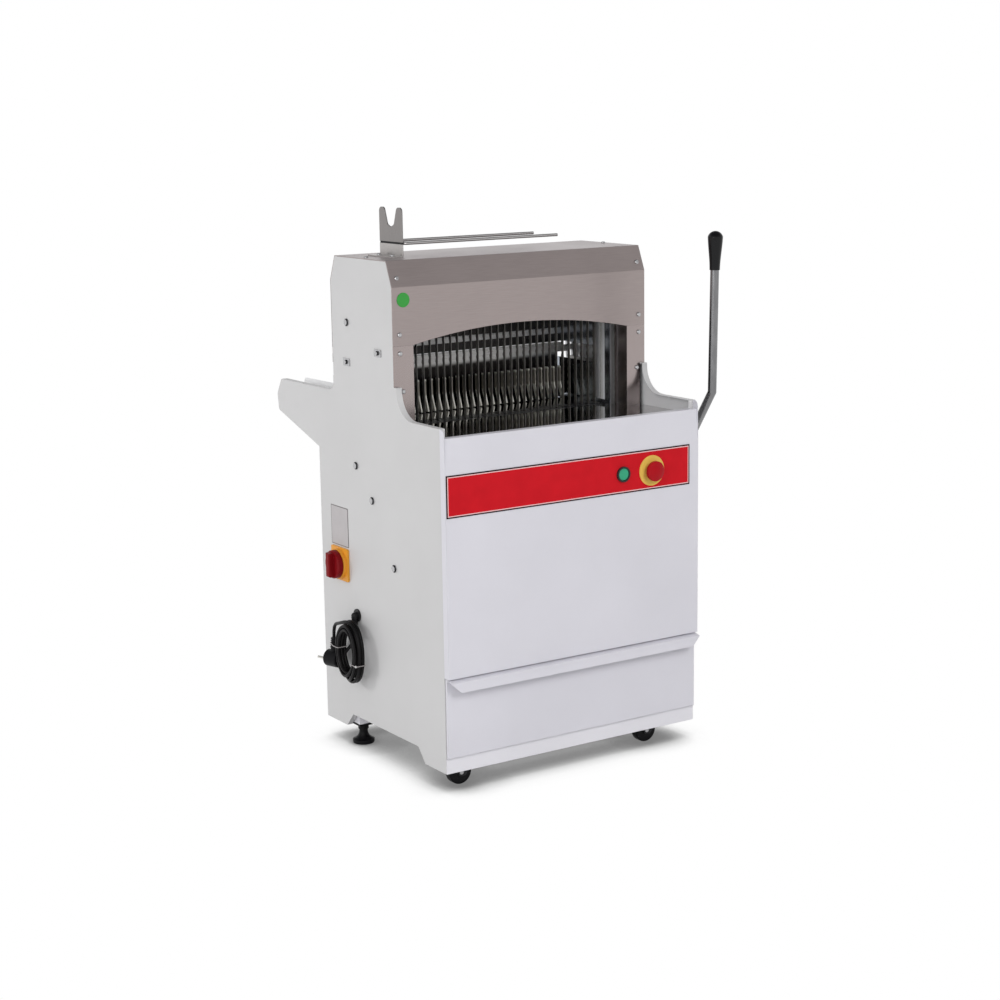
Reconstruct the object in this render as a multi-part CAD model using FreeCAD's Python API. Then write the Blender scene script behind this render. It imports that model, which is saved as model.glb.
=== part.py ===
"""Floor-standing bread slicer with a side lever, as separate parts in millimetres.

The machine is laid out in its own frame: x across from the middle plane (the lever is
on the +x side), y back from the front edge of the side panels, z up from the floor.
`save` moves each part so that the origin lies on the floor under the middle of the
machine's bounding box.
"""
import FreeCAD, Part
import math
import os

V = FreeCAD.Vector

# ---------------------------------------------------------------- driving dimensions
# An inset is measured inwards from the outer face of a side panel, a rise or a drop
# upwards or downwards from the tray.
body_width = 600.0
tray_z = 680.0                 # the table that the loaf slides on
blade_y = 246.0                # plane of the blades
sheet = 1.5                    # covers, panels and trays
panel_flange = 12.0            # inward fold round each side panel
gap = 0.3                      # clearance of what slides or lifts off
running = 0.05                 # radial clearance of shafts and pins

# side outline, from the front at the floor upwards and back
skirt_z = 40.0
recess_z = 69.0
recess_front_y = 103.0
recess_back_y = 361.0
front_leg_y = 78.0
rear_leg_y = 388.0
lip_rise = 28.5
throat_y = 152.6
throat_radius = 55.0
step_rise = 88.0
column_front_y = 161.7
eave_rise = 278.7
hood_front_y = 182.0
hood_rise = 328.0
hood_back_y = 383.0
column_back_y = 402.7
chamfer_rise = 280.0
wing_top_rise = 57.0
wing_fillet = 20.0
wing_corner = 8.0
wing_end_top_y = 631.0
wing_end_y = 650.6
wing_end_rise = 24.0
wing_toe_y = 646.0
wing_toe_drop = 10.0
body_back_y = 471.6
wing_root_drop = 66.0

# front cover, drawer and plinth
cover_proud = 15.5
cover_bend_drop = 51.5
cover_top_rise = 11.0
cover_top_y = -11.6
ear_radius = 12.5
cover_ledge = 14.0
drawer_low_z = 71.5
drawer_high_z = 228.5
drawer_face = 6.0
drawer_depth = 345.0
drawer_wall = 1.2
drawer_box_high_z = 200.0
drawer_box_rise = 8.0          # underside of the drawer's box above that of its face
ledge_width = 16.0
ledge_thick = 2.0
lip_reach = 18.0
lip_drop = 20.0
lip_slope = 4.0
lip_mitre = 22.0
panel_gap = 1.5                # seams between the drawer, the covers and the plinth
plinth_back_y = 20.0

# slicing chamber
chamber_inset = 55.0
cheek_inset = 45.0
cheek_fold = 43.0
fascia_low_rise = 166.5
arch_rise = 27.0
tray_front_y = 4.0
strip_thick = 6.0
strip_reach = 27.0             # half the depth of the slotted strip under the blades
blade_pitch = 16.0
blade_thick = 0.8
tooth_pitch = 14.0
tooth_depth = 2.2
plain_end = 30.0               # toothless stretch at each end of a blade
tab_width = 4.0
tab_height = 18.0
frame_bar = 24.0
frame_depth = 12.0
frame_spacing = 22.0
frame_low_drop = 80.0
frame_high_rise = 250.0
stile_inset = 49.0
stile_width = 14.0
stile_proud = 2.0
stroke = 25.0                  # each way
slot_width = 3.2
slot_end = 1.5
liner_top_rise = 196.0
window_margin = 3.5            # round the blade frames' ends in the chamber's walls
window_low_rise = 8.0
window_head = 14.0
infeed_margin = 6.0
wall_gap = 2.0
lintel_rise = 133.0            # rail across the inside of the rear upper cover
lintel_height = 11.0
lintel_depth = 5.0

# inner plates that carry the mechanism
plate_inset = 28.0
plate_thick = 3.0
plate_front_z = 230.0
plate_front_y = 60.0
plate_nose_rise = 40.0
plate_top_rise = 260.0
plate_waist_drop = 120.0
plate_margin = 20.0
plate_window_front_y = 120.0
plate_window_back_y = 190.0
plate_window_low_z = 270.0
plate_window_high_z = 600.0
rear_window_front_y = 330.0
rear_window_back_y = 430.0
rear_window_low_z = 250.0
rear_window_high_z = 520.0
window_round = 15.0
guide_low_drop = 95.0
guide_high_rise = 220.0
guide_rib = 5.5
pan_low_z = 66.0

# pusher, its arms and the lever
comb_y = 357.0                 # front of the finger tips
comb_toe = 12.0                # how far the toes reach in front of the tips
finger_height = 66.0
finger_thick = 3.0
finger_top_depth = 14.0
finger_bow = 60.0              # radius of a finger's front edge
finger_round = 2.0
heel_drop = 16.0               # how far the finger is cut back behind its tip
heel_reach = 8.0
heel_round = 6.0
comb_floor_gap = 1.5
beam_y = 392.0
beam_size = 20.0
beam_low_rise = 93.0
beam_slot_low = 10.0           # clear height under and over the beam in the side walls
beam_slot_high = 5.0
pin_drop = 3.0                 # pins below the middle of the beam
pusher_forward = 118.0
pusher_back = 116.0
pin_radius = 6.0
lever_y = 282.0
lever_z = 290.0
shaft_radius = 10.0
bush_wall = 4.0
bush_flange = 9.0
bush_length = 5.0
arm_inset = 21.0
arm_thick = 6.0
arm_half_width = 13.0
arm_clear = 3.0
lever_outset = 36.0
knee_y = -14.5
knee_rise = 42.0
lever_top_y = -22.4
lever_top_rise = 364.0
lever_tube = 8.75
lever_wall = 2.0
collar_radius = 15.0
hub_radius = 21.0
grip_length = 77.0
grip_radius = 15.2
grip_neck = 10.4
grip_cap = 5.0

# drive
crank_z = 425.0
crank_disc = 38.0
crank_disc_inset = 120.0
crank_disc_thick = 10.0
crank_shaft = 12.5
crank_pin = 8.0
crank_pin_length = 15.0
rod_thick = 10.0
rod_gap = 0.5                  # between a crank pin's end and its rod
rod_eye_wall = 8.0
rod_half_width = 6.0
rod_foot_drop = 14.0
pulley_radius = 85.0
pulley_x = -120.0
pulley_width = 16.0
pulley_rim = 22.0
pulley_hub = 24.0
motor_pulley_radius = 29.0
motor_axle = 9.0
motor_y = 395.0
motor_z = 335.0
motor_radius = 68.0
motor_length = 190.0
motor_nose_gap = 20.0
motor_fins = 8
motor_fin_pitch = 16.0
motor_fin_height = 5.0
cowl_length = 32.0
bearing_x = 90.0
bearing_half = 12.0
bearing_wall = 14.0
bearing_rail_z = 303.0
bearing_rail_height = 27.0
bearing_rail_half = 20.0
belt_thick = 8.0

# controls
band_low_drop = 139.0
band_high_drop = 58.0
band_left_inset = 2.0
band_right_inset = 23.0
band_thick = 1.0
control_drop = 100.5
start_inset = 189.5
stop_inset = 119.0
bezel_radius = 15.5
bezel_height = 4.0
start_radius = 12.0
start_length = 10.0
start_travel = 3.0
ring_radius = 30.5
stop_radius = 20.0
stop_edge = 6.0
stop_neck = 10.5
stop_neck_length = 20.0
stop_proud = 20.0
stop_travel = 4.0
switch_y = 393.0
switch_z = 382.5
switch_plate = 68.0
switch_thick = 4.0
switch_collar = 7.0
switch_stem = 6.0
knob_radius = 29.0
knob_reach = 33.0
knob_rim = 2.0                 # how far the collar shows round the knob
knob_bar = 15.0
knob_bar_half = 25.0
knob_bar_proud = 11.0

# bag holder on the hood
holder_inset = 72.0
holder_y = 279.0
holder_width = 86.0
holder_thick = 2.5
holder_foot = 30.0
holder_hinge_rise = 26.5       # this and the next two are above the hood
horn_rise = 95.0
notch_rise = 57.0
horn_width = 19.0
notch_half = 12.6
notch_shoulder = 5.0           # rise from the notch's lowest point to its corners
groove_height = 3.5
groove_depth = 1.2
prong_length = 350.2
prong_radius = 3.0
prong_bend = 9.0
knuckle_wall = 2.0

# feet
caster_inset = 74.0
caster_y = 44.0
caster_trail = 20.0
wheel_radius = 25.0
wheel_width = 18.0
axle_radius = 4.0
kingpin_radius = 5.0
swivel_radius = 17.0
swivel_height = 7.0
fork_thick = 2.0
fork_gap = 1.2
caster_plate = 24.0            # half the width of the plate over each caster
fork_round = 7.0
fork_high = 4.0                # the cheeks' corners, above and below the axle's
fork_low = 8.0                 # own height
fork_toe = 9.0
stem_radius = 6.0
foot_inset = 32.0
foot_y = 378.0
foot_radius = 22.5
foot_bracket_z = 44.5
foot_bracket = 18.0
foot_nut = 4.2                 # square plate of the foot, under its bracket
foot_rim = 8.0                 # height of the pad's straight rim
foot_neck = 9.0
foot_neck_z = 24.0
foot_lock = 11.0               # radius of the lock nut on the stem
foot_lock_low_z = 30.0
foot_lock_high_z = 38.0

# bolts and screws
high_bolt = (340.0, 199.0)
washer_bolts = ((344.5, 120.0), (220.0, 149.0))
low_bolts = ((318.7, 595.0), (257.0, 533.4), (177.0, 411.0))
bolt_radius = 7.5
bolt_height = 4.0
washer_length = 26.0
washer_height = 15.0
hood_screw_y = 283.0
holder_screws = 26.0           # each way from the middle of the bag holder's foot
screw_radius = 4.5
screw_height = 3.0
screw_bevel = 0.4              # of the height of its head
fascia_screws = ((15.0, 152.0), (15.0, 188.0), (20.0, 79.0))
slope_share = 0.33

# mains lead
cord_radius = 3.5
coil_outset = 27.0
coil_y = 322.5
coil_z = 216.0
coil_half_y = 50.0
coil_half_z = 66.0
coil_hole_half_y = 28.0
coil_hole_half_z = 42.0
coil_depth = 21.0
gland_outset = 7.5
gland_y = 330.0
gland_z = 286.0
gland_exit_z = 264.0
gland_radius = 7.0
gland_flange = 13.0
plug_outset = 29.5             # of its rear face, which carries the pins
plug_y = 407.5
plug_z = 186.0
plug_turn = 18.0               # degrees outwards from straight back
plug_length = 34.0
plug_radius = 17.5
boot_back = 15.8               # behind the plug's front face
boot_z = 231.0
boot_radius = 7.5
pin_spread = 9.5
pin_reach = 19.0
pin_half = 2.4

# ------------------------------------------------------------------- derived values
half_width = body_width / 2
panel_in_x = half_width - sheet
flange_in_x = half_width - panel_flange
lip_z = tray_z + lip_rise
step_z = tray_z + step_rise
eave_z = tray_z + eave_rise
hood_z = tray_z + hood_rise
chamfer_z = tray_z + chamfer_rise
wing_top_z = tray_z + wing_top_rise
wing_end_z = tray_z + wing_end_rise
wing_toe_z = tray_z - wing_toe_drop
wing_root_z = tray_z - wing_root_drop
cover_low_z = drawer_high_z + panel_gap
cover_bend_z = tray_z - cover_bend_drop
cover_top_z = tray_z + cover_top_rise
tray_low_z = tray_z - sheet
fascia_low_z = tray_z + fascia_low_rise
chamber_half = half_width - chamber_inset
cheek_opening = half_width - cheek_inset
wall_front_y = column_front_y + cheek_fold + wall_gap
liner_top_z = tray_z + liner_top_rise
blade_count = 2 * int(chamber_half / blade_pitch)
blade_width = frame_spacing - frame_depth - 2 * gap
front_frame_y = blade_y - frame_spacing / 2
rear_frame_y = blade_y + frame_spacing / 2
frame_low_z = tray_z - frame_low_drop
frame_high_z = tray_z + frame_high_rise
stile_in_x = half_width - stile_inset
stile_out_x = stile_in_x + stile_width
window_front_y = front_frame_y - frame_depth / 2 - window_margin
window_back_y = rear_frame_y + frame_depth / 2 + window_margin
plate_in_x = half_width - plate_inset
plate_out_x = plate_in_x + plate_thick
arm_in_x = half_width - arm_inset
arm_out_x = arm_in_x + arm_thick
lever_x = half_width + lever_outset
knee_z = tray_z + knee_rise
lever_top_z = tray_z + lever_top_rise
finger_low_z = tray_z + comb_floor_gap
finger_top_z = finger_low_z + finger_height
beam_low_z = tray_z + beam_low_rise
beam_mid_y = beam_y + beam_size / 2
beam_slot_low_z = beam_low_z - beam_slot_low
beam_slot_high_z = beam_low_z + beam_size + beam_slot_high
rear_cover_low_z = beam_low_z + beam_size + panel_gap
pin_z = beam_low_z + beam_size / 2 - pin_drop
pin_lift = pin_z - lever_z     # also the pusher's travel for each radian of the lever
slot_top = pusher_back + arm_clear
arm_reach = math.hypot(beam_mid_y + slot_top - lever_y, pin_lift) + arm_half_width
crank_y = blade_y
crank_disc_x = half_width - crank_disc_inset
crank_pin_x = crank_disc_x + crank_disc_thick
rod_x = crank_pin_x + crank_pin_length + rod_gap
band_low_z = tray_z - band_low_drop
band_high_z = tray_z - band_high_drop
band_face_y = -cover_proud - band_thick
control_z = tray_z - control_drop
start_x = half_width - start_inset
stop_x = half_width - stop_inset
holder_x = -half_width + holder_inset
holder_hinge_z = hood_z + holder_hinge_rise
horn_z = hood_z + horn_rise
notch_z = hood_z + notch_rise
caster_x = half_width - caster_inset
foot_x = half_width - foot_inset
coil_x = -half_width - coil_outset
plug_x = -half_width - plug_outset
gland_x = -half_width - gland_outset
front_reach = cover_proud + band_thick + stop_proud
left_reach = half_width + knob_reach
right_reach = lever_x + grip_radius
origin = V((right_reach - left_reach) / 2, (wing_end_y - front_reach) / 2, 0)


# -------------------------------------------------------------------------- helpers
def save(name, *solids):
    shape = solids[0] if len(solids) == 1 else Part.makeCompound(list(solids))
    shape.translated(-origin).exportStep("parts/" + name + ".step")


def block(x0, x1, y0, y1, z0, z1):
    return Part.makeBox(x1 - x0, y1 - y0, z1 - z0, V(x0, y0, z0))


def rod(start, end, radius):
    axis = end - start
    return Part.makeCylinder(radius, axis.Length, start, axis)


def fuse(first, *others):
    return first.fuse(list(others)).removeSplitter()


def cut(first, *others):
    return first.cut(list(others))


def mirrored(shape):
    return shape.mirror(V(0, 0, 0), V(1, 0, 0))


def in_yz(a, b):
    return V(0, a, b)


def in_xz(a, b):
    return V(a, 0, b)


def in_xy(a, b):
    return V(a, b, 0)


def corner_points(before, corner, after, plane):
    """Start, middle and end of the arc that rounds a corner of an outline."""
    point = plane(corner[0], corner[1])
    radius = corner[2] if len(corner) > 2 else 0.0
    if radius == 0:
        return [point]
    back = (plane(before[0], before[1]) - point).normalize()
    ahead = (plane(after[0], after[1]) - point).normalize()
    half = back.getAngle(ahead) / 2
    reach = radius / math.tan(half)
    centre = point + (back + ahead).normalize() * (radius / math.sin(half))
    middle = centre + (point - centre).normalize() * radius
    return [point + back * reach, middle, point + ahead * reach]


def outline(corners, plane):
    """Face inside corners given as (a, b) or (a, b, radius) in a plane."""
    count = len(corners)
    rounded = [
        corner_points(corners[i - 1], corners[i], corners[(i + 1) % count], plane)
        for i in range(count)
    ]
    edges = []
    for i, points in enumerate(rounded):
        if len(points) == 3:
            edges.append(Part.Arc(*points).toShape())
        start = points[-1]
        end = rounded[(i + 1) % count][0]
        if start.distanceToPoint(end) > 1e-6:
            edges.append(Part.LineSegment(start, end).toShape())
    return Part.Face(Part.Wire(edges))


def prism_x(corners, x0, x1):
    face = outline(corners, in_yz)
    face.translate(V(x0, 0, 0))
    return face.extrude(V(x1 - x0, 0, 0))


def prism_y(corners, y0, y1):
    face = outline(corners, in_xz)
    face.translate(V(0, y0, 0))
    return face.extrude(V(0, y1 - y0, 0))


def prism_z(corners, z0, z1):
    face = outline(corners, in_xy)
    face.translate(V(0, 0, z0))
    return face.extrude(V(0, 0, z1 - z0))


def folded_strip(points, thick):
    """Corners of a sheet's section: a line of points, thickened to its left."""
    offsets = []
    for i, (a, b) in enumerate(points):
        normals = []
        for j in (i - 1, i):
            if 0 <= j < len(points) - 1:
                run_a = points[j + 1][0] - points[j][0]
                run_b = points[j + 1][1] - points[j][1]
                length = math.hypot(run_a, run_b)
                normals.append((-run_b / length, run_a / length))
        sum_a = sum(n[0] for n in normals)
        sum_b = sum(n[1] for n in normals)
        scale = thick * len(normals) / (sum_a ** 2 + sum_b ** 2)
        offsets.append((a + sum_a * scale, b + sum_b * scale))
    return list(points) + offsets[::-1]


def pan(face, depth, direction):
    """A tray-shaped panel: the face, with a fold of that depth all round it."""
    outer = face.extrude(direction * depth)
    inner = face.makeOffset2D(-sheet)
    inner.translate(direction * sheet)
    return outer.cut(inner.extrude(direction * depth))


def screw(point, axis, radius, height):
    """A flat cylinder head with a bevelled rim."""
    head = Part.makeCylinder(radius, height, point, axis)
    return head.makeChamfer(height * screw_bevel, [head.Edges[0]])


# ---------------------------------------------------------------------- side panels
def side_corners():
    return [
        (0, skirt_z), (0, lip_z, 3), (throat_y, lip_z, throat_radius), (throat_y, step_z),
        (column_front_y, step_z), (column_front_y, eave_z), (hood_front_y, hood_z),
        (hood_back_y, hood_z), (column_back_y, chamfer_z),
        (column_back_y, wing_top_z, wing_fillet), (wing_end_top_y, wing_top_z, wing_corner),
        (wing_end_y, wing_end_z, wing_corner), (wing_toe_y, wing_toe_z, wing_corner),
        (body_back_y, wing_root_z), (body_back_y, skirt_z), (rear_leg_y, skirt_z),
        (recess_back_y, recess_z, 6), (recess_front_y, recess_z, 6), (front_leg_y, skirt_z),
    ]


def column_band():
    """Section of the sheets that wrap the column above the step."""
    whole = outline(side_corners(), in_yz)
    column = [
        (column_front_y, step_z), (column_front_y, eave_z), (hood_front_y, hood_z),
        (hood_back_y, hood_z), (column_back_y, chamfer_z), (column_back_y, step_z),
    ]
    lowered = [(a, b) for a, b in column]
    lowered[0] = (column_front_y, skirt_z)
    lowered[-1] = (column_back_y, skirt_z)
    inside = outline(lowered, in_yz).makeOffset2D(-sheet)
    above = outline([(0, step_z), (0, hood_z + 1), (wing_end_y, hood_z + 1),
                     (wing_end_y, step_z)], in_yz)
    return whole.common(above).cut(inside)


def side_panel():
    """Right-hand side panel, with the hole for the lever's shaft."""
    face = outline(side_corners(), in_yz).cut(column_band())
    face = max(face.Faces, key=lambda part: part.Area)
    face.translate(V(half_width, 0, 0))
    return pan(face, panel_flange, V(-1, 0, 0))


def on_shaft(x0, x1, radius):
    """Round bar on the line of the lever's shaft."""
    return rod(V(x0, lever_y, lever_z), V(x1, lever_y, lever_z), radius)


def save_side_panels():
    panel = side_panel()
    hole = on_shaft(flange_in_x, half_width + sheet, shaft_radius + sheet)
    save("side_panel_right", cut(panel, hole))
    save("side_panel_left", mirrored(panel))


# ------------------------------------------------------------- column: hood and front
def full_width(face):
    face.translate(V(-half_width, 0, 0))
    return face.extrude(V(body_width, 0, 0))


def arch_cut():
    """The opening below the fascia's arched lower edge."""
    left = V(-cheek_opening, 0, fascia_low_z)
    right = V(cheek_opening, 0, fascia_low_z)
    arc = Part.Arc(left, V(0, 0, fascia_low_z + arch_rise), right).toShape()
    chord = Part.LineSegment(right, left).toShape()
    face = Part.Face(Part.Wire([arc, chord]))
    return face.extrude(V(0, column_back_y / 2, 0))


def save_column():
    band = full_width(column_band())
    middle_y = (hood_front_y + hood_back_y) / 2
    hood = band.common(block(-half_width, half_width, 0, wing_end_y, eave_z, hood_z + 1))
    save("hood", hood)
    fascia = band.common(block(-half_width, half_width, 0, middle_y, fascia_low_z, eave_z))
    save("fascia", cut(fascia, arch_cut()))
    rear = band.common(block(-half_width, half_width, middle_y, wing_end_y,
                             rear_cover_low_z, eave_z))
    inner_y = column_back_y - sheet
    lintel_z = tray_z + lintel_rise
    lintel = block(-chamber_half, chamber_half, inner_y - lintel_depth, inner_y,
                   lintel_z, lintel_z + lintel_height)
    notch_top = lever_z + math.sqrt(arm_reach ** 2 - (inner_y - lever_y) ** 2) + arm_clear
    notch = block(arm_in_x - arm_clear, arm_out_x + arm_clear, middle_y, wing_end_y, 0, notch_top)
    save("rear_upper_cover", cut(fuse(rear, lintel), notch, mirrored(notch)))


def save_cheeks():
    upper = block(cheek_opening, half_width, column_front_y, column_front_y + sheet,
                  step_z, fascia_low_z)
    lower = block(cheek_opening, flange_in_x - gap, column_front_y, column_front_y + sheet,
                  tray_z, step_z)
    fold = block(cheek_opening, cheek_opening + sheet, column_front_y,
                 column_front_y + cheek_fold, tray_z, fascia_low_z)
    cheek = fuse(upper, lower, fold)
    save("cheek_right", cheek)
    save("cheek_left", mirrored(cheek))


# ----------------------------------------------------------- inner plates and chamber
def inner_plate():
    """Right-hand plate that carries the guides, the lever's shaft and the drawer."""
    top_z = tray_z + plate_top_rise
    waist_z = tray_z - plate_waist_drop
    floor_z = pan_low_z + sheet
    corners = [
        (plinth_back_y, floor_z), (plinth_back_y, plate_front_z), (plate_front_y, tray_low_z),
        (column_front_y, tray_low_z), (wall_front_y, tray_z + plate_nose_rise),
        (wall_front_y, top_z, plate_margin), (column_back_y - plate_margin, top_z, plate_margin),
        (column_back_y - plate_margin, beam_slot_high_z),
        (window_back_y, beam_slot_high_z, wing_corner),
        (window_back_y, beam_slot_low_z, wing_corner),
        (column_back_y - infeed_margin, beam_slot_low_z),
        (column_back_y - infeed_margin, tray_low_z - plate_margin, plate_margin),
        (body_back_y - plate_margin, waist_z, plate_margin), (body_back_y - plate_margin, floor_z),
    ]
    plate = prism_x(corners, plate_in_x, plate_out_x)
    ledge = block(plate_in_x - ledge_width, plate_in_x, plinth_back_y, drawer_depth + ledge_width,
                  drawer_ledge_z() - ledge_thick, drawer_ledge_z())
    bush = on_shaft(plate_in_x - 1, plate_out_x + 1, shaft_radius + bush_wall)
    slope = plate_window_back_y - plate_window_front_y
    front_window = plate_window([
        (plate_window_front_y, plate_window_low_z),
        (plate_window_front_y, plate_window_high_z - slope),
        (plate_window_back_y, plate_window_high_z), (plate_window_back_y, plate_window_low_z)])
    rear_window = plate_window([
        (rear_window_front_y, rear_window_low_z), (rear_window_front_y, rear_window_high_z),
        (rear_window_back_y, rear_window_high_z), (rear_window_back_y, rear_window_low_z)])
    return fuse(cut(plate, bush, front_window, rear_window), ledge)


def plate_window(corners):
    """Cutter for a window with rounded corners in the inner plate."""
    return prism_x([(y, z, window_round) for y, z in corners], plate_in_x - 1, plate_out_x + 1)


def drawer_ledge_z():
    return drawer_low_z + drawer_box_rise - gap


def shaft_bush():
    """Flanged bush of the lever's shaft, on the right-hand plate."""
    low_x = plate_in_x - bush_length
    body = on_shaft(low_x, plate_out_x, shaft_radius + bush_wall)
    flange = on_shaft(low_x, plate_in_x, shaft_radius + bush_flange)
    return cut(fuse(body, flange), on_shaft(low_x - 1, plate_out_x + 1, shaft_radius + running))


def guide():
    """Right-hand guide: two vertical channels for the blade frames' stiles."""
    low_y = front_frame_y - frame_depth / 2 - gap
    mid_low = front_frame_y + frame_depth / 2 + gap
    mid_high = rear_frame_y - frame_depth / 2 - gap
    high_y = rear_frame_y + frame_depth / 2 + gap
    back_x = stile_out_x + gap
    lip_x = stile_in_x + stile_proud
    section = [
        (plate_in_x, low_y - guide_rib), (lip_x, low_y - guide_rib), (lip_x, low_y),
        (back_x, low_y), (back_x, mid_low), (lip_x, mid_low), (lip_x, mid_high),
        (back_x, mid_high), (back_x, high_y), (lip_x, high_y), (lip_x, high_y + guide_rib),
        (plate_in_x, high_y + guide_rib),
    ]
    return prism_z(section, tray_z - guide_low_drop, tray_z + guide_high_rise)


def liner():
    """Right-hand wall of the chamber and the infeed trough."""
    back_y = column_back_y - infeed_margin
    slot_y = window_back_y + wing_fillet
    corners = [
        (wall_front_y, tray_z), (wall_front_y, liner_top_z),
        (back_y, liner_top_z), (back_y, beam_slot_high_z),
        (slot_y, beam_slot_high_z), (slot_y, beam_slot_low_z),
        (back_y, beam_slot_low_z), (column_back_y + wing_fillet, wing_top_z, wing_corner),
        (wing_end_top_y - infeed_margin, wing_top_z - wall_gap, wing_corner),
        (wing_end_y - infeed_margin, wing_end_z - wall_gap, wing_corner),
        (wing_end_y - infeed_margin, tray_z),
    ]
    wall = prism_x(corners, chamber_half, chamber_half + sheet)
    window = block(chamber_half - 1, chamber_half + sheet + 1, window_front_y, window_back_y,
                   tray_z + window_low_rise, liner_top_z - window_head)
    slot = block(chamber_half - 1, chamber_half + sheet + 1, window_back_y - 1, slot_y + 1,
                 beam_slot_low_z, beam_slot_high_z)
    return cut(wall, window, slot)


def save_inner_frame():
    plate = inner_plate()
    save("inner_plate_right", plate)
    save("inner_plate_left", mirrored(plate))
    save("guide_right", guide())
    save("guide_left", mirrored(guide()))
    save("liner_right", liner())
    save("liner_left", mirrored(liner()))


# ---------------------------------------------------------------------------- trays
def blade_x(index):
    return (index - (blade_count - 1) / 2) * blade_pitch


def save_trays():
    side_x = panel_in_x - gap
    wall_x = chamber_half + sheet
    fold_x = cheek_opening + sheet
    front_y = column_front_y - sheet
    strip_front_y = blade_y - strip_reach
    strip_back_y = blade_y + strip_reach
    front = block(-side_x, side_x, tray_front_y, front_y, tray_low_z, tray_z)
    fold = block(-flange_in_x, flange_in_x, tray_front_y, tray_front_y + sheet,
                 tray_z, cover_top_z - sheet)
    middle = block(-fold_x, fold_x, front_y, wall_front_y, tray_low_z, tray_z)
    back = block(-wall_x, wall_x, wall_front_y, strip_front_y, tray_low_z, tray_z)
    save("outfeed_tray", fuse(front, fold, middle, back))

    strip = block(-wall_x, wall_x, strip_front_y, strip_back_y, tray_z - strip_thick, tray_z)
    reach_y = blade_width / 2 + slot_end
    slots = [block(blade_x(i) - slot_width / 2, blade_x(i) + slot_width / 2,
                   blade_y - reach_y, blade_y + reach_y, tray_z - strip_thick - 1, tray_z + 1)
             for i in range(blade_count)]
    save("blade_strip", cut(strip, *slots))

    section = folded_strip(
        [(strip_back_y, tray_z), (wing_end_y - infeed_margin, tray_z),
         (wing_toe_y - infeed_margin, wing_toe_z + wall_gap),
         (body_back_y + wall_gap, wing_root_z + wall_gap)], -sheet)
    save("infeed_tray", prism_x(section, -wall_x, wall_x))


# --------------------------------------------------------------- front cover and base
def control_holes():
    deep = V(0, 2 * cover_proud, 0)
    start = V(start_x, 0, control_z) - deep
    stop = V(stop_x, 0, control_z) - deep
    return [rod(start, start + deep, start_radius + gap), rod(stop, stop + deep, stop_neck + gap)]


def save_front_cover():
    section = folded_strip(
        [(-sheet, cover_low_z), (-cover_proud, cover_low_z), (-cover_proud, cover_bend_z),
         (cover_top_y, cover_top_z), (-gap, cover_top_z)], -sheet)
    face = prism_x(section, -half_width + sheet, half_width - sheet)
    tongue = block(-flange_in_x + gap, flange_in_x - gap, -gap, tray_front_y + sheet,
                   cover_top_z - sheet, cover_top_z)
    ear = prism_x([(-cover_proud, cover_low_z), (-cover_proud, cover_bend_z),
                   (-cover_ledge, lip_z, ear_radius), (0, lip_z), (0, cover_low_z)],
                  half_width - sheet, half_width)
    cover = fuse(face, tongue, ear, mirrored(ear))
    save("front_cover", cut(cover, *control_holes()))
    band = block(-half_width + band_left_inset, half_width - band_right_inset,
                 band_face_y, -cover_proud, band_low_z, band_high_z)
    save("control_band", cut(band, *control_holes()))


def save_base():
    inside_x = flange_in_x - gap
    plinth = block(-half_width, half_width, -sheet, 0, skirt_z, drawer_low_z - panel_gap)
    floor = block(-inside_x, inside_x, 0, body_back_y - sheet, pan_low_z, pan_low_z + sheet)
    pieces = []
    holes = []
    for side in (-1, 1):
        foot = V(side * foot_x, foot_y, skirt_z)
        pieces.append(block(foot.x - foot_bracket, foot.x + foot_bracket, foot_y - foot_bracket,
                            foot_y + foot_bracket, foot_bracket_z, pan_low_z))
        holes.append(rod(foot, foot + V(0, 0, pan_low_z - skirt_z), stem_radius + running))
        caster = V(side * caster_x, caster_y, caster_top_z() + gap)
        pieces.append(block(caster.x - caster_plate, caster.x + caster_plate,
                            caster_y - caster_plate, caster_y + caster_plate,
                            caster.z, pan_low_z))
        holes.append(rod(caster - V(0, 0, 1), V(caster.x, caster_y, pan_low_z + 2 * sheet),
                         kingpin_radius + running))
    save("base_frame", cut(fuse(plinth, floor, *pieces), *holes))
    save("rear_cover", block(-half_width + sheet, half_width - sheet, body_back_y,
                             body_back_y + sheet, skirt_z + panel_gap, wing_root_z - wall_gap))


# --------------------------------------------------------------------------- drawer
def save_drawer():
    face_x = half_width - sheet
    face = outline([(-face_x, drawer_low_z), (-face_x, drawer_high_z),
                    (face_x, drawer_high_z), (face_x, drawer_low_z)], in_xz)
    lip_y = -drawer_face - gap
    face.translate(V(0, lip_y, 0))
    front = pan(face, drawer_face, V(0, 1, 0))
    edge_z = drawer_high_z - lip_slope
    low_z = edge_z - lip_drop
    section = folded_strip(
        [(lip_y, drawer_high_z), (lip_y - lip_reach, edge_z),
         (lip_y - lip_reach - drawer_face / 2, low_z)], sheet)
    lip = prism_x(section, -face_x, face_x)
    mitre = prism_y([(half_width, edge_z), (half_width, low_z - sheet),
                     (half_width - lip_mitre, low_z - sheet)], lip_y - 2 * lip_reach, lip_y)
    save("drawer_front", fuse(front, cut(lip, mitre, mirrored(mitre))))

    side_x = plate_in_x - ledge_width / 2 - wall_gap
    low = drawer_ledge_z() + gap
    front_y = lip_y + sheet
    outer = block(-side_x, side_x, front_y, drawer_depth, low, drawer_box_high_z)
    inner = block(-side_x + drawer_wall, side_x - drawer_wall, front_y + drawer_wall,
                  drawer_depth - drawer_wall, low + drawer_wall, drawer_box_high_z + 1)
    save("drawer_box", outer.cut(inner))


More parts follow.
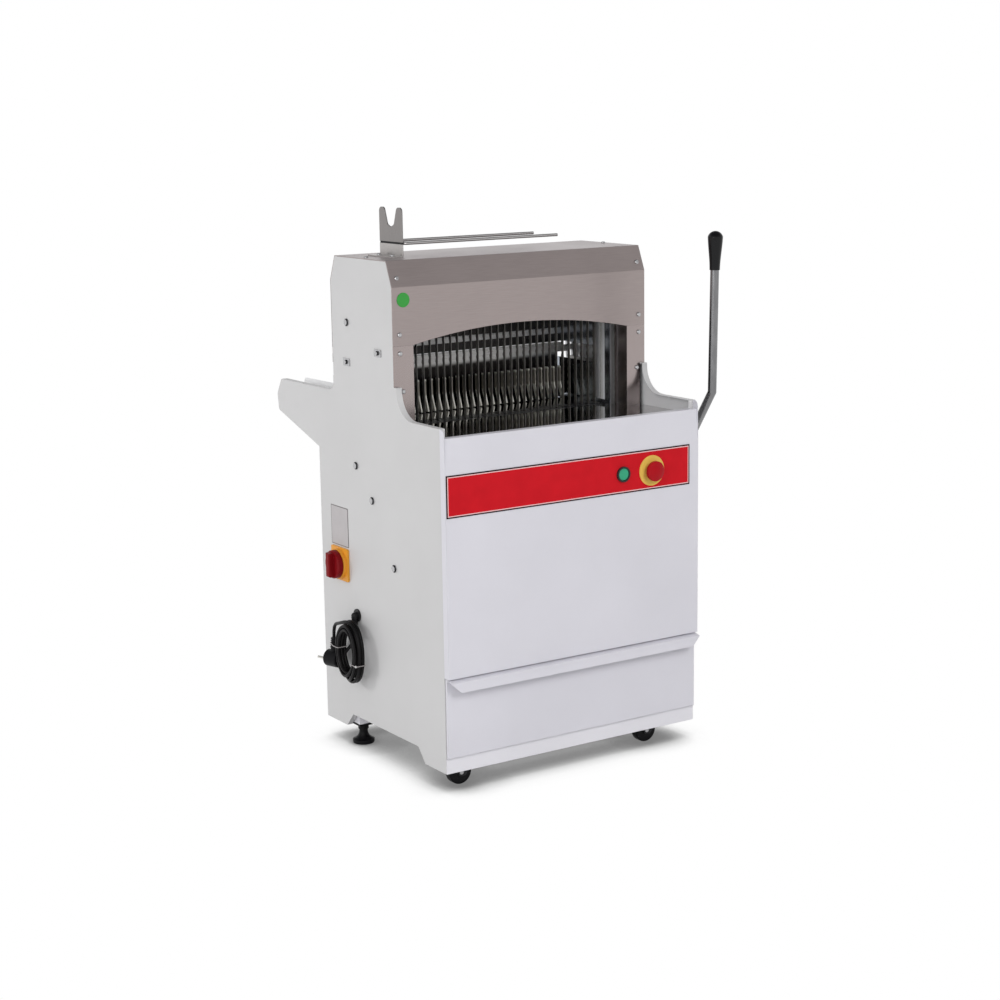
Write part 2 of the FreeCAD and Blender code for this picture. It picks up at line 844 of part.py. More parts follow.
# --------------------------------------------------------------------- blade frames
def blade(x, tab_front, tab_back):
    """One blade with a toothed back edge, and a tab at each end that meets its frame."""
    front = blade_y - blade_width / 2
    back = blade_y + blade_width / 2
    low = frame_low_z + (frame_bar - tab_height) / 2
    high = frame_high_z - (frame_bar - tab_height) / 2
    points = [(front, low), (front, high), (back, high)]
    tooth_top = high - plain_end
    count = int((tooth_top - low - plain_end) / tooth_pitch)
    for index in range(count):
        z = tooth_top - index * tooth_pitch
        points.append((back, z))
        points.append((back - tooth_depth, z - tooth_pitch / 2))
    points.append((back, tooth_top - count * tooth_pitch))
    points.append((back, low))
    strip = prism_x(points, x - blade_thick / 2, x + blade_thick / 2)
    tabs = [block(x - tab_width / 2, x + tab_width / 2, tab_front, tab_back, z, z + tab_height)
            for z in (low, high - tab_height)]
    return strip.fuse(tabs)


def blade_frame(y):
    """Rectangular frame: two bars, and two stiles that run in the guides."""
    low_y = y - frame_depth / 2
    high_y = y + frame_depth / 2
    outer = block(-stile_out_x, stile_out_x, low_y, high_y, frame_low_z, frame_high_z)
    inner = block(-stile_in_x, stile_in_x, low_y - 1, high_y + 1,
                  frame_low_z + frame_bar, frame_high_z - frame_bar)
    return outer.cut(inner)


def drive_rod(y, side):
    """Rod from a frame's lower bar down to the crank pin on one side."""
    x = side * rod_x
    top = V(x, y, frame_low_z - rod_foot_drop)
    end = V(x, crank_y + side * stroke, crank_z)
    reach = V(side * rod_thick, 0, 0)
    eye = rod(end, end + reach, crank_pin + rod_eye_wall)
    foot = rod(top, top + reach, rod_half_width)
    run = end - top
    across = V(0, -run.z, run.y).normalize() * rod_half_width
    corners = [top + across, end + across, end - across, top - across, top + across]
    web = Part.Face(Part.makePolygon(corners)).extrude(reach)
    low_x = min(x, x + side * rod_thick)
    lug = block(low_x, low_x + rod_thick, y - frame_depth / 2, y + frame_depth / 2,
                top.z, frame_low_z)
    hole = rod(end - reach, end + reach * 2, crank_pin + running)
    return cut(fuse(eye, foot, web, lug), hole)


def save_blade_frames():
    half_space = (frame_spacing - frame_depth) / 2
    front_tab = (blade_y - half_space, blade_y + blade_width / 2)
    rear_tab = (blade_y - blade_width / 2, blade_y + half_space)
    for name, y, side, tab, first in (("front", front_frame_y, -1, front_tab, 0),
                                      ("rear", rear_frame_y, 1, rear_tab, 1)):
        save(name + "_blade_frame", blade_frame(y))
        save(name + "_blades", *[blade(blade_x(i), *tab) for i in range(first, blade_count, 2)])
        save(name + "_drive_rod", drive_rod(y, side))


# ---------------------------------------------------------------------------- drive
def save_drive():
    shaft = rod(V(-crank_disc_x, crank_y, crank_z), V(crank_disc_x, crank_y, crank_z), crank_shaft)
    parts = [shaft]
    for side in (-1, 1):
        face_x = side * crank_disc_x
        parts.append(rod(V(face_x, crank_y, crank_z),
                         V(side * crank_pin_x, crank_y, crank_z), crank_disc))
        pin = V(side * crank_pin_x, crank_y + side * stroke, crank_z)
        parts.append(rod(pin, pin + V(side * crank_pin_length, 0, 0), crank_pin))
    save("crankshaft", fuse(*parts))

    centre = V(pulley_x, crank_y, crank_z)
    wide = V(pulley_width, 0, 0)
    wheel = rod(centre, centre + wide, pulley_radius)
    groove = cut(rod(centre + wide * 0.15, centre + wide * 0.85, pulley_radius + 1),
                 rod(centre, centre + wide, pulley_radius - belt_thick))
    hollow_face = rod(centre - wide, centre + wide * 0.3, pulley_radius - pulley_rim)
    hub = rod(centre - wide * 0.4, centre + wide, pulley_hub)
    bore = rod(centre - wide, centre + wide * 2, crank_shaft + running)
    save("crank_pulley", cut(fuse(cut(wheel, groove, hollow_face), hub), bore))

    small = V(pulley_x, motor_y, motor_z)
    drum = rod(small, small + wide, motor_pulley_radius)
    small_groove = cut(rod(small + wide * 0.15, small + wide * 0.85, motor_pulley_radius + 1),
                       rod(small, small + wide, motor_pulley_radius - belt_thick))
    axle = rod(small + wide, small + wide + V(motor_nose_gap + pulley_width, 0, 0), motor_axle)
    save("motor_pulley", fuse(cut(drum, small_groove), axle))
    save("drive_belt", belt())
    save("motor", motor())
    save("shaft_bearings", bearings(), shaft_bush(), mirrored(shaft_bush()))


def belt_loop(big, small, x0, x1):
    """Solid inside a belt line round both pulleys."""
    run = V(0, motor_y - crank_y, motor_z - crank_z)
    turn = math.asin((big - small) / run.Length)
    along = math.atan2(run.z, run.y)
    points = []
    for sign in (1, -1):
        angle = along + sign * (math.pi / 2 - turn)
        points.append(V(0, math.cos(angle), math.sin(angle)))
    centre = V(0, crank_y, crank_z)
    other = V(0, motor_y, motor_z)
    corners = [centre + points[0] * big, other + points[0] * small,
               other + points[1] * small, centre + points[1] * big]
    face = Part.Face(Part.makePolygon(corners + [corners[0]]))
    face.translate(V(x0, 0, 0))
    wide = V(x1 - x0, 0, 0)
    start = V(x0, 0, 0)
    return fuse(face.extrude(wide), rod(centre + start, centre + start + wide, big),
                rod(other + start, other + start + wide, small))


def belt():
    x0 = pulley_x + pulley_width * 0.15 + gap
    x1 = pulley_x + pulley_width * 0.85 - gap
    lift = gap
    outer = belt_loop(pulley_radius + lift, motor_pulley_radius + lift, x0, x1)
    inner = belt_loop(pulley_radius - belt_thick + lift,
                      motor_pulley_radius - belt_thick + lift, x0 - 1, x1 + 1)
    return outer.cut(inner)


def motor():
    """Foot-mounted motor behind the lever's shaft, on a bridge across the inner plates."""
    nose_x = pulley_x + pulley_width + motor_nose_gap
    tail_x = nose_x + motor_length
    start = V(nose_x, motor_y, motor_z)
    tail = V(tail_x, motor_y, motor_z)
    body = rod(start, tail, motor_radius)
    fin_x = [nose_x + motor_fin_pitch * (1.5 + i) for i in range(motor_fins)]
    fins = [rod(V(x, motor_y, motor_z), V(x + motor_fin_height, motor_y, motor_z),
                motor_radius + motor_fin_height) for x in fin_x]
    cowl = rod(tail, tail + V(cowl_length, 0, 0), motor_radius - motor_fin_height)
    box_half = motor_radius / 2
    box = block(fin_x[2], fin_x[6], motor_y - box_half, motor_y + box_half,
                motor_z + box_half, motor_z + motor_radius + box_half)
    foot_half = motor_radius - motor_fin_pitch
    bridge_z = motor_z - motor_radius - motor_fin_height - 1
    feet = block(fin_x[0], fin_x[7], motor_y - foot_half, motor_y + foot_half,
                 bridge_z, bridge_z + motor_fin_pitch)
    bridge = block(-plate_in_x, plate_in_x, motor_y - foot_half, motor_y + foot_half,
                   bridge_z - plate_thick, bridge_z)
    bore = rod(start - V(1, 0, 0), start + V(2 * motor_fin_pitch, 0, 0), motor_axle + running)
    return cut(fuse(body, *fins, cowl, box, feet, bridge), bore)


def bearings():
    """Cross rail between the inner plates, with a pillow block at each end of the shaft."""
    low_y = crank_y - bearing_rail_half
    high_y = crank_y + bearing_rail_half
    rail = block(-plate_in_x, plate_in_x, low_y, high_y,
                 bearing_rail_z, bearing_rail_z + bearing_rail_height)
    pieces = []
    for side in (-1, 1):
        low = V(side * bearing_x - bearing_half, crank_y, crank_z)
        high = V(side * bearing_x + bearing_half, crank_y, crank_z)
        pieces.append(rod(low, high, crank_shaft + bearing_wall))
        pieces.append(block(low.x, high.x, low_y, high_y, bearing_rail_z, crank_z))
    end = V(bearing_x + bearing_half + 1, 0, 0)
    middle = V(0, crank_y, crank_z)
    return cut(fuse(rail, *pieces), rod(middle - end, middle + end, crank_shaft + running))


# ----------------------------------------------------------------- pusher and lever
def finger(x):
    """One comb finger: a plate with a bowed front edge, cut back behind its tip."""
    low = finger_low_z
    top = finger_top_z
    face = outline([
        (comb_y, top, finger_round), (comb_y, low + finger_height / 2, finger_bow),
        (comb_y - comb_toe, low, finger_round), (beam_y, low), (beam_y, top - heel_round),
        (comb_y + finger_top_depth + heel_reach, top - heel_drop, heel_round),
        (comb_y + finger_top_depth, top, finger_round),
    ], in_yz)
    face.translate(V(x - finger_thick / 2, 0, 0))
    return face.extrude(V(finger_thick, 0, 0))


def save_pusher():
    fingers = [finger(blade_x(i) + blade_pitch / 2) for i in range(blade_count - 1)]
    save("pusher_comb", *fingers)

    inside = chamber_half - arm_clear
    plate = block(-inside, inside, beam_y, beam_y + wall_gap, finger_low_z, beam_low_z)
    reach = plate_in_x - sheet
    bevel = beam_size * 0.8
    bar = prism_y([(-reach, beam_low_z), (-reach + bevel, beam_low_z + beam_size),
                   (reach - bevel, beam_low_z + beam_size), (reach, beam_low_z)],
                  beam_y, beam_y + beam_size)
    pins = [rod(V(side * (reach - bevel), beam_mid_y, pin_z),
                V(side * (arm_out_x + wall_gap), beam_mid_y, pin_z), pin_radius)
            for side in (-1, 1)]
    save("pusher_beam", fuse(plate, bar, *pins))


def slot_point(travel, aside):
    """Point of the slot in the arm, for that pusher travel and that far from its middle.

    The pusher keeps step with the lever, so the slot is an involute: the pin's place
    seen from the arm as it turns.
    """
    turn = travel / pin_lift
    y = beam_mid_y + travel - lever_y + aside
    return V(0, lever_y + y * math.cos(turn) - pin_lift * math.sin(turn),
             lever_z + y * math.sin(turn) + pin_lift * math.cos(turn))


def slot_bar(radius):
    """Round-ended bar of that half width along the slot."""
    stations = 7
    travels = [-pusher_forward + (slot_top + pusher_forward) * i / (stations - 1)
               for i in range(stations)]
    sides = []
    for aside in (radius, -radius):
        side = Part.BSplineCurve()
        side.interpolate([slot_point(travel, aside) for travel in travels])
        sides.append(side.toShape())
    caps = []
    for travel, way in ((travels[0], -1), (travels[-1], 1)):
        turn = travel / pin_lift
        tip = slot_point(travel, 0) + V(0, -math.sin(turn), math.cos(turn)) * (radius * way)
        ends = [slot_point(travel, radius), tip, slot_point(travel, -radius)]
        caps.append(Part.Arc(*ends).toShape())
    edges = Part.sortEdges(sides + caps)[0]
    return Part.Face(Part.Wire(edges)).extrude(V(arm_thick, 0, 0))


def arm():
    """Right-hand arm: a flat bar with the curved slot that moves the pusher evenly."""
    slot = slot_bar(pin_radius + 2 * gap)
    head = slot_bar(arm_half_width)
    pivot = V(0, lever_y, lever_z)
    low = slot_point(-pusher_forward, 0)
    hub = rod(pivot, pivot + V(arm_thick, 0, 0), hub_radius)
    run = low - pivot
    across = V(0, -run.z, run.y).normalize()
    wide = across * (shaft_radius + bush_flange)
    narrow = across * arm_half_width
    corners = [pivot + wide, low + narrow, low - narrow, pivot - wide, pivot + wide]
    web = Part.Face(Part.makePolygon(corners)).extrude(V(arm_thick, 0, 0))
    bore = rod(pivot - V(1, 0, 0), pivot + V(arm_thick + 1, 0, 0), shaft_radius + running)
    shape = cut(fuse(hub, web, head), slot, bore)
    shape.translate(V(arm_in_x, 0, 0))
    return shape


def save_lever():
    arms = [arm(), mirrored(arm())]
    save("pusher_arms", *arms)

    shaft = on_shaft(-arm_out_x - arm_clear, lever_x + collar_radius, shaft_radius)
    hub_low_x = lever_x - hub_radius
    collar = on_shaft(half_width + sheet, hub_low_x, collar_radius)
    save("lever_shaft", fuse(shaft, collar))

    foot = V(lever_x, lever_y, lever_z)
    knee = V(lever_x, knee_y, knee_z)
    top = V(lever_x, lever_top_y, lever_top_z)
    along = (top - knee).normalize()
    tube = lever_tubing(foot, knee, top - along * (grip_cap + gap))
    hub = on_shaft(hub_low_x, lever_x + collar_radius, hub_radius)
    bore = on_shaft(half_width, lever_x + hub_radius, shaft_radius + running)
    save("lever_arm", cut(fuse(tube, hub), bore))

    save("lever_grip", grip(top - along * grip_length, along))


def bent_bar(foot, knee, top, radius):
    """Two straight round bars that meet at the knee."""
    return fuse(rod(foot, knee, radius), rod(knee, top, radius), Part.makeSphere(radius, knee))


def lever_tubing(foot, knee, top):
    """Bent tube, open at its top and blind at the hub."""
    lower = (knee - foot).normalize()
    upper = (top - knee).normalize()
    outside = bent_bar(foot, knee, top, lever_tube)
    inside = bent_bar(foot + lower * 2 * lever_tube, knee, top + upper, lever_tube - lever_wall)
    return outside.cut(inside)


def grip(low, along):
    """Tapered plastic grip with a domed top and a blind bore for the tube."""
    neck = grip_neck
    wide = grip_radius
    side = Part.BSplineCurve()
    side.interpolate([V(neck, 0, 0), V(neck + 1.2, 0, grip_length * 0.3),
                      V(wide - 0.8, 0, grip_length * 0.68), V(wide, 0, grip_length * 0.85)])
    dome = cap_arc(wide, grip_length * 0.85, grip_length)
    bottom = Part.LineSegment(V(0, 0, 0), V(neck, 0, 0))
    axis_line = Part.LineSegment(V(0, 0, grip_length), V(0, 0, 0))
    wire = Part.Wire([bottom.toShape(), side.toShape(), dome.toShape(), axis_line.toShape()])
    solid = Part.Face(wire).revolve(V(0, 0, 0), V(0, 0, 1), 360)
    bore = Part.makeCylinder(lever_tube + running, grip_length - grip_cap, V(0, 0, 0))
    shape = solid.cut(bore)
    shape.Placement = FreeCAD.Placement(low, FreeCAD.Rotation(V(0, 0, 1), along))
    return shape


# ------------------------------------------------------------------------- controls
def ring(centre, axis, outer, inner, height):
    return cut(Part.makeCylinder(outer, height, centre, axis),
               Part.makeCylinder(inner, height * 3, centre - axis * height, axis))


def save_controls():
    out = V(0, -1, 0)
    start = V(start_x, band_face_y, control_z)
    save("button_bezel", ring(start, out, bezel_radius, start_radius + gap, bezel_height))
    inner_end = start - out * (start_length - start_travel)
    button = Part.makeCylinder(start_radius, start_length, inner_end, out)
    save("start_button", button.makeFillet(start_radius / 9, [button.Edges[0]]))
    stop = V(stop_x, band_face_y, control_z)
    save("stop_ring", ring(stop, out, ring_radius, stop_neck + gap, sheet))
    lift = 2 * stop_travel + sheet
    head_low = stop + out * lift
    head = mushroom(stop_proud - lift)
    head.Placement = FreeCAD.Placement(head_low, FreeCAD.Rotation(V(0, 0, 1), out))
    neck = Part.makeCylinder(stop_neck, stop_neck_length, head_low - out * (stop_neck_length - 1), out)
    save("stop_button", fuse(head, neck))

    side = V(-1, 0, 0)
    half = switch_plate / 2
    low_y = switch_y - half
    high_y = switch_y + half
    low_z = switch_z - half
    high_z = switch_z + half
    plate = prism_x([(low_y, low_z, switch_thick), (low_y, high_z, switch_thick),
                     (high_y, high_z, switch_thick), (high_y, low_z, switch_thick)],
                    -half_width - switch_thick, -half_width)
    centre = V(-half_width - switch_thick, switch_y, switch_z)
    collar = Part.makeCylinder(knob_radius + knob_rim, switch_collar, centre, side)
    bore = Part.makeCylinder(switch_stem + running, knob_reach, centre - side * switch_stem, side)
    save("switch_plate", cut(fuse(plate, collar), bore))
    base = centre + side * (switch_collar + gap)
    face_x = -half_width - knob_reach
    disc = Part.makeCylinder(knob_radius, base.x - face_x - knob_bar_proud, base, side)
    disc = disc.makeFillet(knob_rim, [edge for edge in disc.Edges if not on_face(edge, base.x)
                                      and edge.Closed])
    bar = block(face_x, base.x, switch_y - knob_bar / 2, switch_y + knob_bar / 2,
                switch_z - knob_bar_half, switch_z + knob_bar_half)
    bar = bar.makeFillet(knob_bar / 5, [edge for edge in bar.Edges if on_face(edge, face_x)])
    inner_end = base - side * (switch_collar + switch_thick)
    stem = Part.makeCylinder(switch_stem, switch_collar + knob_bar / 2, inner_end, side)
    save("switch_knob", fuse(disc, bar, stem))


def on_face(edge, x):
    return all(abs(vertex.X - x) < 1e-6 for vertex in edge.Vertexes)


def cap_arc(radius, low, high):
    """Arc of a dome on the z axis, from its rim at low up to its crown at high."""
    rise = high - low
    ball = (radius ** 2 + rise ** 2) / (2 * rise)
    half = math.asin(radius / ball) / 2
    middle = V(ball * math.sin(half), 0, high - ball * (1 - math.cos(half)))
    return Part.Arc(V(radius, 0, low), middle, V(0, 0, high))


def mushroom(height):
    """Head of the stop button, standing on z = 0."""
    side = Part.LineSegment(V(stop_radius, 0, 0), V(stop_radius, 0, stop_edge))
    dome = cap_arc(stop_radius, stop_edge, height)
    floor = Part.LineSegment(V(0, 0, 0), V(stop_radius, 0, 0))
    axis_line = Part.LineSegment(V(0, 0, height), V(0, 0, 0))
    wire = Part.Wire([floor.toShape(), side.toShape(), dome.toShape(), axis_line.toShape()])
    return Part.Face(wire).revolve(V(0, 0, 0), V(0, 0, 1), 360)


# ----------------------------------------------------------------------- bag holder
def save_bag_holder():
    low_y = holder_y - holder_width / 2
    high_y = holder_y + holder_width / 2
    tip = horn_width * 0.45
    shoulder_z = notch_z + notch_shoulder
    plate = [
        (low_y, hood_z), (low_y, horn_z, tip), (low_y + horn_width, horn_z, tip),
        (holder_y - notch_half, shoulder_z, notch_shoulder), (holder_y, notch_z),
        (holder_y + notch_half, shoulder_z, notch_shoulder),
        (high_y - horn_width, horn_z, tip), (high_y, horn_z, tip), (high_y, hood_z),
    ]
    back_x = holder_x - holder_thick
    groove = block(back_x - 1, back_x + groove_depth, low_y - 1, high_y + 1,
                   holder_hinge_z - groove_height / 2, holder_hinge_z + groove_height / 2)
    upright = cut(prism_x(plate, back_x, holder_x), groove)
    foot = block(holder_x - holder_foot, holder_x, low_y, high_y, hood_z, hood_z + holder_thick)
    knuckle_x = holder_x + prong_radius + gap
    outer = prong_radius + knuckle_wall
    end_inset = prong_bend + knuckle_wall
    knuckle = rod(V(knuckle_x, low_y + end_inset, holder_hinge_z),
                  V(knuckle_x, high_y - end_inset, holder_hinge_z), outer)
    knuckle = cut(knuckle, block(holder_x - outer, holder_x, low_y, high_y,
                                 holder_hinge_z - outer, holder_hinge_z + outer))
    bore = rod(V(knuckle_x, low_y, holder_hinge_z), V(knuckle_x, high_y, holder_hinge_z),
               prong_radius + running)
    save("bag_fork", cut(fuse(upright, foot, knuckle), bore))
    save("bag_prongs", prongs(knuckle_x, low_y, high_y))


def prongs(x, low_y, high_y):
    """Wire bail: a cross wire in the knuckle and two long prongs."""
    bend = prong_bend
    path = []
    for y, way in ((low_y, 1), (high_y, -1)):
        tip = V(x + bend + prong_length, y, holder_hinge_z)
        start = V(x + bend, y, holder_hinge_z)
        corner = V(x, y + way * bend, holder_hinge_z)
        centre = V(x + bend, y + way * bend, holder_hinge_z)
        middle = centre + V(-1, -way, 0).normalize() * bend
        path.append((tip, start, middle, corner))
    (tip_a, start_a, mid_a, corner_a), (tip_b, start_b, mid_b, corner_b) = path
    wire = Part.Wire([
        Part.LineSegment(tip_a, start_a).toShape(), Part.Arc(start_a, mid_a, corner_a).toShape(),
        Part.LineSegment(corner_a, corner_b).toShape(),
        Part.Arc(corner_b, mid_b, start_b).toShape(), Part.LineSegment(start_b, tip_b).toShape(),
    ])
    profile = Part.Wire(Part.makeCircle(prong_radius, tip_a, V(-1, 0, 0)))
    return wire.makePipeShell([profile], True, False)


# ----------------------------------------------------------------------------- feet
def caster_top_z():
    return pan_low_z - plate_thick - gap


def caster(side):
    """Fork and wheel of one front caster, turned to roll across the machine."""
    top = V(0, 0, caster_top_z())
    low_z = top.z - swivel_height
    swivel = Part.makeCylinder(swivel_radius, swivel_height, V(0, 0, low_z))
    reach = wheel_width / 2 + fork_gap
    tail_x = caster_trail + kingpin_radius + fork_thick
    crown_x = swivel_radius - fork_thick
    corners = [(-swivel_radius / 1.5, low_z), (crown_x, low_z),
               (tail_x, wheel_radius + fork_high, fork_round),
               (tail_x, wheel_radius - fork_low, fork_round),
               (caster_trail - fork_toe, wheel_radius - fork_low, fork_round)]
    cheeks = [prism_y(corners, reach, reach + fork_thick),
              prism_y(corners, -reach - fork_thick, -reach)]
    crown = block(-swivel_radius / 1.5, crown_x, -reach - fork_thick, reach + fork_thick,
                  low_z - fork_thick, low_z)
    axle_end = V(0, reach + fork_thick + 1, 0)
    hub = V(caster_trail, 0, wheel_radius)
    axle = rod(hub - axle_end, hub + axle_end, axle_radius)
    kingpin = Part.makeCylinder(kingpin_radius, swivel_height + plate_thick, V(0, 0, low_z))
    fork = fuse(swivel, kingpin, crown, *cheeks, axle)
    half = V(0, wheel_width / 2, 0)
    tread = rod(hub - half, hub + half, wheel_radius)
    tread = tread.makeFillet(wheel_width / 6, [edge for edge in tread.Edges if edge.Closed])
    wheel = cut(tread, rod(hub - half * 2, hub + half * 2, axle_radius + running))
    for shape in (fork, wheel):
        shape.rotate(V(0, 0, 0), V(0, 0, 1), 180)
        shape.translate(V(side * caster_x, caster_y, 0))
    return fork, wheel


def levelling_foot(side):
    """Threaded stem on a bell-shaped pad."""
    centre = V(side * foot_x, foot_y, 0)
    profile = [V(0, 0, 0), V(foot_radius - 1, 0, 0), V(foot_radius, 0, 2),
               V(foot_radius, 0, foot_rim)]
    waist = V(foot_radius * 0.62, 0, (2 * foot_rim + foot_neck_z) / 3)
    bell = Part.Arc(profile[-1], waist, V(foot_neck, 0, foot_neck_z))
    edges = [Part.LineSegment(profile[i], profile[i + 1]).toShape() for i in range(3)]
    edges.append(bell.toShape())
    top = foot_bracket_z + foot_bracket
    steps = [V(foot_neck, 0, foot_neck_z), V(foot_neck, 0, foot_lock_low_z),
             V(foot_lock, 0, foot_lock_low_z), V(foot_lock, 0, foot_lock_high_z),
             V(stem_radius, 0, foot_lock_high_z), V(stem_radius, 0, top), V(0, 0, top), V(0, 0, 0)]
    edges += [Part.LineSegment(steps[i], steps[i + 1]).toShape() for i in range(len(steps) - 1)]
    foot = Part.Face(Part.Wire(edges)).revolve(V(0, 0, 0), V(0, 0, 1), 360)
    foot.translate(centre)
    nut_top = foot_bracket_z - gap
    nut = block(centre.x - foot_bracket, centre.x + foot_bracket, foot_y - foot_bracket,
                foot_y + foot_bracket, nut_top - foot_nut, nut_top)
    return fuse(foot, nut)


def save_feet():
    for name, side in (("left", -1), ("right", 1)):
        fork, wheel = caster(side)
        save("caster_fork_" + name, fork)
        save("caster_wheel_" + name, wheel)
        save("levelling_foot_" + name, levelling_foot(side))


# -------------------------------------------------------------------- bolts, screws
def washered_bolt(point, out):
    """Small bolt on an oblong washer, flat against a side panel."""
    long = washer_length / 2
    tall = washer_height / 2
    low_x = min(point.x, point.x + out.x * sheet)
    washer = prism_x([(point.y - long, point.z - tall, sheet), (point.y - long, point.z + tall, sheet),
                      (point.y + long, point.z + tall, sheet), (point.y + long, point.z - tall, sheet)],
                     low_x, low_x + sheet)
    return fuse(washer, screw(point + out * sheet, out, screw_radius, screw_height))


def save_fasteners():
    heads = []
    share_y = column_front_y + (hood_front_y - column_front_y) * slope_share
    share_z = eave_z + (hood_z - eave_z) * slope_share
    slope = V(0, eave_z - hood_z, hood_front_y - column_front_y).normalize()
    for side in (-1, 1):
        out = V(side, 0, 0)
        for y, z in ((high_bolt[0], tray_z + high_bolt[1]), *low_bolts):
            heads.append(screw(V(side * half_width, y, z), out, bolt_radius, bolt_height))
        for y, rise in washer_bolts:
            heads.append(washered_bolt(V(side * half_width, y, tray_z + rise), out))
        for inset, rise in fascia_screws:
            place = V(side * (half_width - inset), column_front_y, tray_z + rise)
            heads.append(screw(place, V(0, -1, 0), screw_radius, screw_height))
        end_x = side * (half_width - fascia_screws[0][0])
        heads.append(screw(V(end_x, share_y, share_z), slope, screw_radius, screw_height))
        heads.append(screw(V(end_x, hood_screw_y, hood_z), V(0, 0, 1), screw_radius, screw_height))
        foot = V(holder_x - holder_foot / 2, holder_y + side * holder_screws, hood_z + holder_thick)
        heads.append(screw(foot, V(0, 0, 1), screw_radius, screw_height))
    save("cover_screws", *heads)


# ------------------------------------------------------------------------ mains lead
def rounded_path(points):
    """Wire of straight runs joined by the largest arcs that the runs allow."""
    edges = []
    start = points[0]
    lengths = [points[i].distanceToPoint(points[i + 1]) for i in range(len(points) - 1)]
    for i in range(1, len(points) - 1):
        back = (points[i - 1] - points[i]).normalize()
        ahead = (points[i + 1] - points[i]).normalize()
        half_turn = (math.pi - back.getAngle(ahead)) / 2
        reach = 0.45 * min(lengths[i - 1], lengths[i])
        radius = reach / math.tan(half_turn)
        print("cord bend radius %.1f mm" % radius)
        centre = points[i] + (back + ahead).normalize() * (radius / math.cos(half_turn))
        arc_start = points[i] + back * reach
        arc_end = points[i] + ahead * reach
        middle = centre + (points[i] - centre).normalize() * radius
        edges.append(Part.LineSegment(start, arc_start).toShape())
        edges.append(Part.Arc(arc_start, middle, arc_end).toShape())
        start = arc_end
    edges.append(Part.LineSegment(start, points[-1]).toShape())
    return Part.Wire(edges)


def cord_tube(points):
    path = rounded_path(points)
    profile = Part.Wire(Part.makeCircle(cord_radius, points[0], points[1] - points[0]))
    tube = path.makePipeShell([profile], True, False)
    ideal = math.pi * cord_radius ** 2 * path.Length
    print("cord tube %.1f mm long, volume %.4f of section times length"
          % (path.Length, tube.Volume / ideal))
    return tube


def lead_points():
    return [V(gland_x, gland_y, gland_exit_z), V(gland_x, gland_y, 243),
            V(gland_x - 3.5, 340, 223), V(coil_x + 7, 353, 207)]


def tail_points():
    end = plug_boot(boot_z)
    return [V(coil_x + 1, 356.5, 238.5), V(coil_x + 1, 357.3, 251.5), V(coil_x + 1.5, 365.5, 262.3),
            V(coil_x + 2.2, 381, 262), V(end.x, end.y, 247), end]


def coil():
    """Outer shape of the tied hank: an oval ring with rounded edges."""
    outer = Part.Ellipse(V(0, 0, 0), coil_half_z, coil_half_y).toShape()
    inner = Part.Ellipse(V(0, 0, 0), coil_hole_half_z, coil_hole_half_y).toShape()
    face = Part.Face(Part.Wire(outer)).cut(Part.Face(Part.Wire(inner)))
    solid = face.extrude(V(0, 0, coil_depth))
    rims = [edge for edge in solid.Edges if edge.Closed]
    solid = solid.makeFillet(coil_depth * 0.35, rims)
    solid.translate(V(0, 0, -coil_depth / 2))
    solid.rotate(V(0, 0, 0), V(0, 1, 0), 90)
    solid.translate(V(coil_x, coil_y, coil_z))
    return solid


def plug_way():
    """The direction in which the plug's pins point."""
    turn = math.radians(plug_turn)
    return V(-math.sin(turn), math.cos(turn), 0)


def plug_boot(z):
    """Point of that height on the axis of the plug's strain relief."""
    return V(plug_x, plug_y, z) + plug_way() * (boot_back - plug_length)


def plug():
    """Round angled plug: the lead enters from above and the pins point backwards."""
    along = plug_way()
    across = V(along.y, -along.x, 0)
    rear = V(plug_x, plug_y, plug_z)
    body = rod(rear - along * plug_length, rear, plug_radius)
    body = body.makeFillet(plug_radius / 6, [edge for edge in body.Edges if edge.Closed])
    neck_top = plug_boot(plug_z + plug_radius + boot_radius / 2)
    neck = rod(plug_boot(plug_z), neck_top, boot_radius)
    boot = Part.makeCone(boot_radius, cord_radius * 1.5, boot_z - neck_top.z, neck_top)
    pins = [rod(rear + across * place, rear + across * place + along * pin_reach, pin_half)
            for place in (-pin_spread, pin_spread)]
    return fuse(body, neck, boot, *pins)


def gland():
    """Flanged elbow that turns the lead down from the panel."""
    root = V(-half_width, gland_y, gland_z)
    out = V(-1, 0, 0)
    elbow = V(gland_x, gland_y, gland_z)
    flange = Part.makeCylinder(gland_flange, 2 * sheet, root, out)
    neck = Part.makeCylinder(gland_radius, gland_outset, root, out)
    ball = Part.makeSphere(gland_radius, elbow)
    relief = Part.makeCone(gland_radius, cord_radius + sheet, gland_z - gland_exit_z, elbow,
                           V(0, 0, -1))
    inside = block(-half_width, -flange_in_x, gland_y - gland_flange, gland_y + gland_flange,
                   gland_exit_z, gland_z + gland_flange)
    return cut(fuse(flange, neck, ball, relief), inside)


def save_cord():
    save("cord_lead", cord_tube(lead_points()))
    save("cord_tail", cord_tube(tail_points()))
    save("cord_coil", coil())
    save("plug", plug())
    save("cable_gland", gland())


def build():
    os.makedirs("parts", exist_ok=True)
    save_side_panels()
    save_column()
    save_cheeks()
    save_inner_frame()
    save_trays()
    save_front_cover()
    save_base()
    save_drawer()
    save_blade_frames()
    save_drive()
    save_pusher()
    save_lever()
    save_controls()
    save_bag_holder()
    save_feet()
    save_fasteners()
    save_cord()


build()
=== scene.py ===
"""Looks of the floor-standing bread slicer: finishes, small fittings, mains lead, light and camera.

Lengths are metres. `at` takes places in the machine's own frame: x across from the middle plane,
y back from the front edge of the side panels, z up from the floor.
"""

import bmesh
import bpy
import math
from mathutils import Matrix, Vector


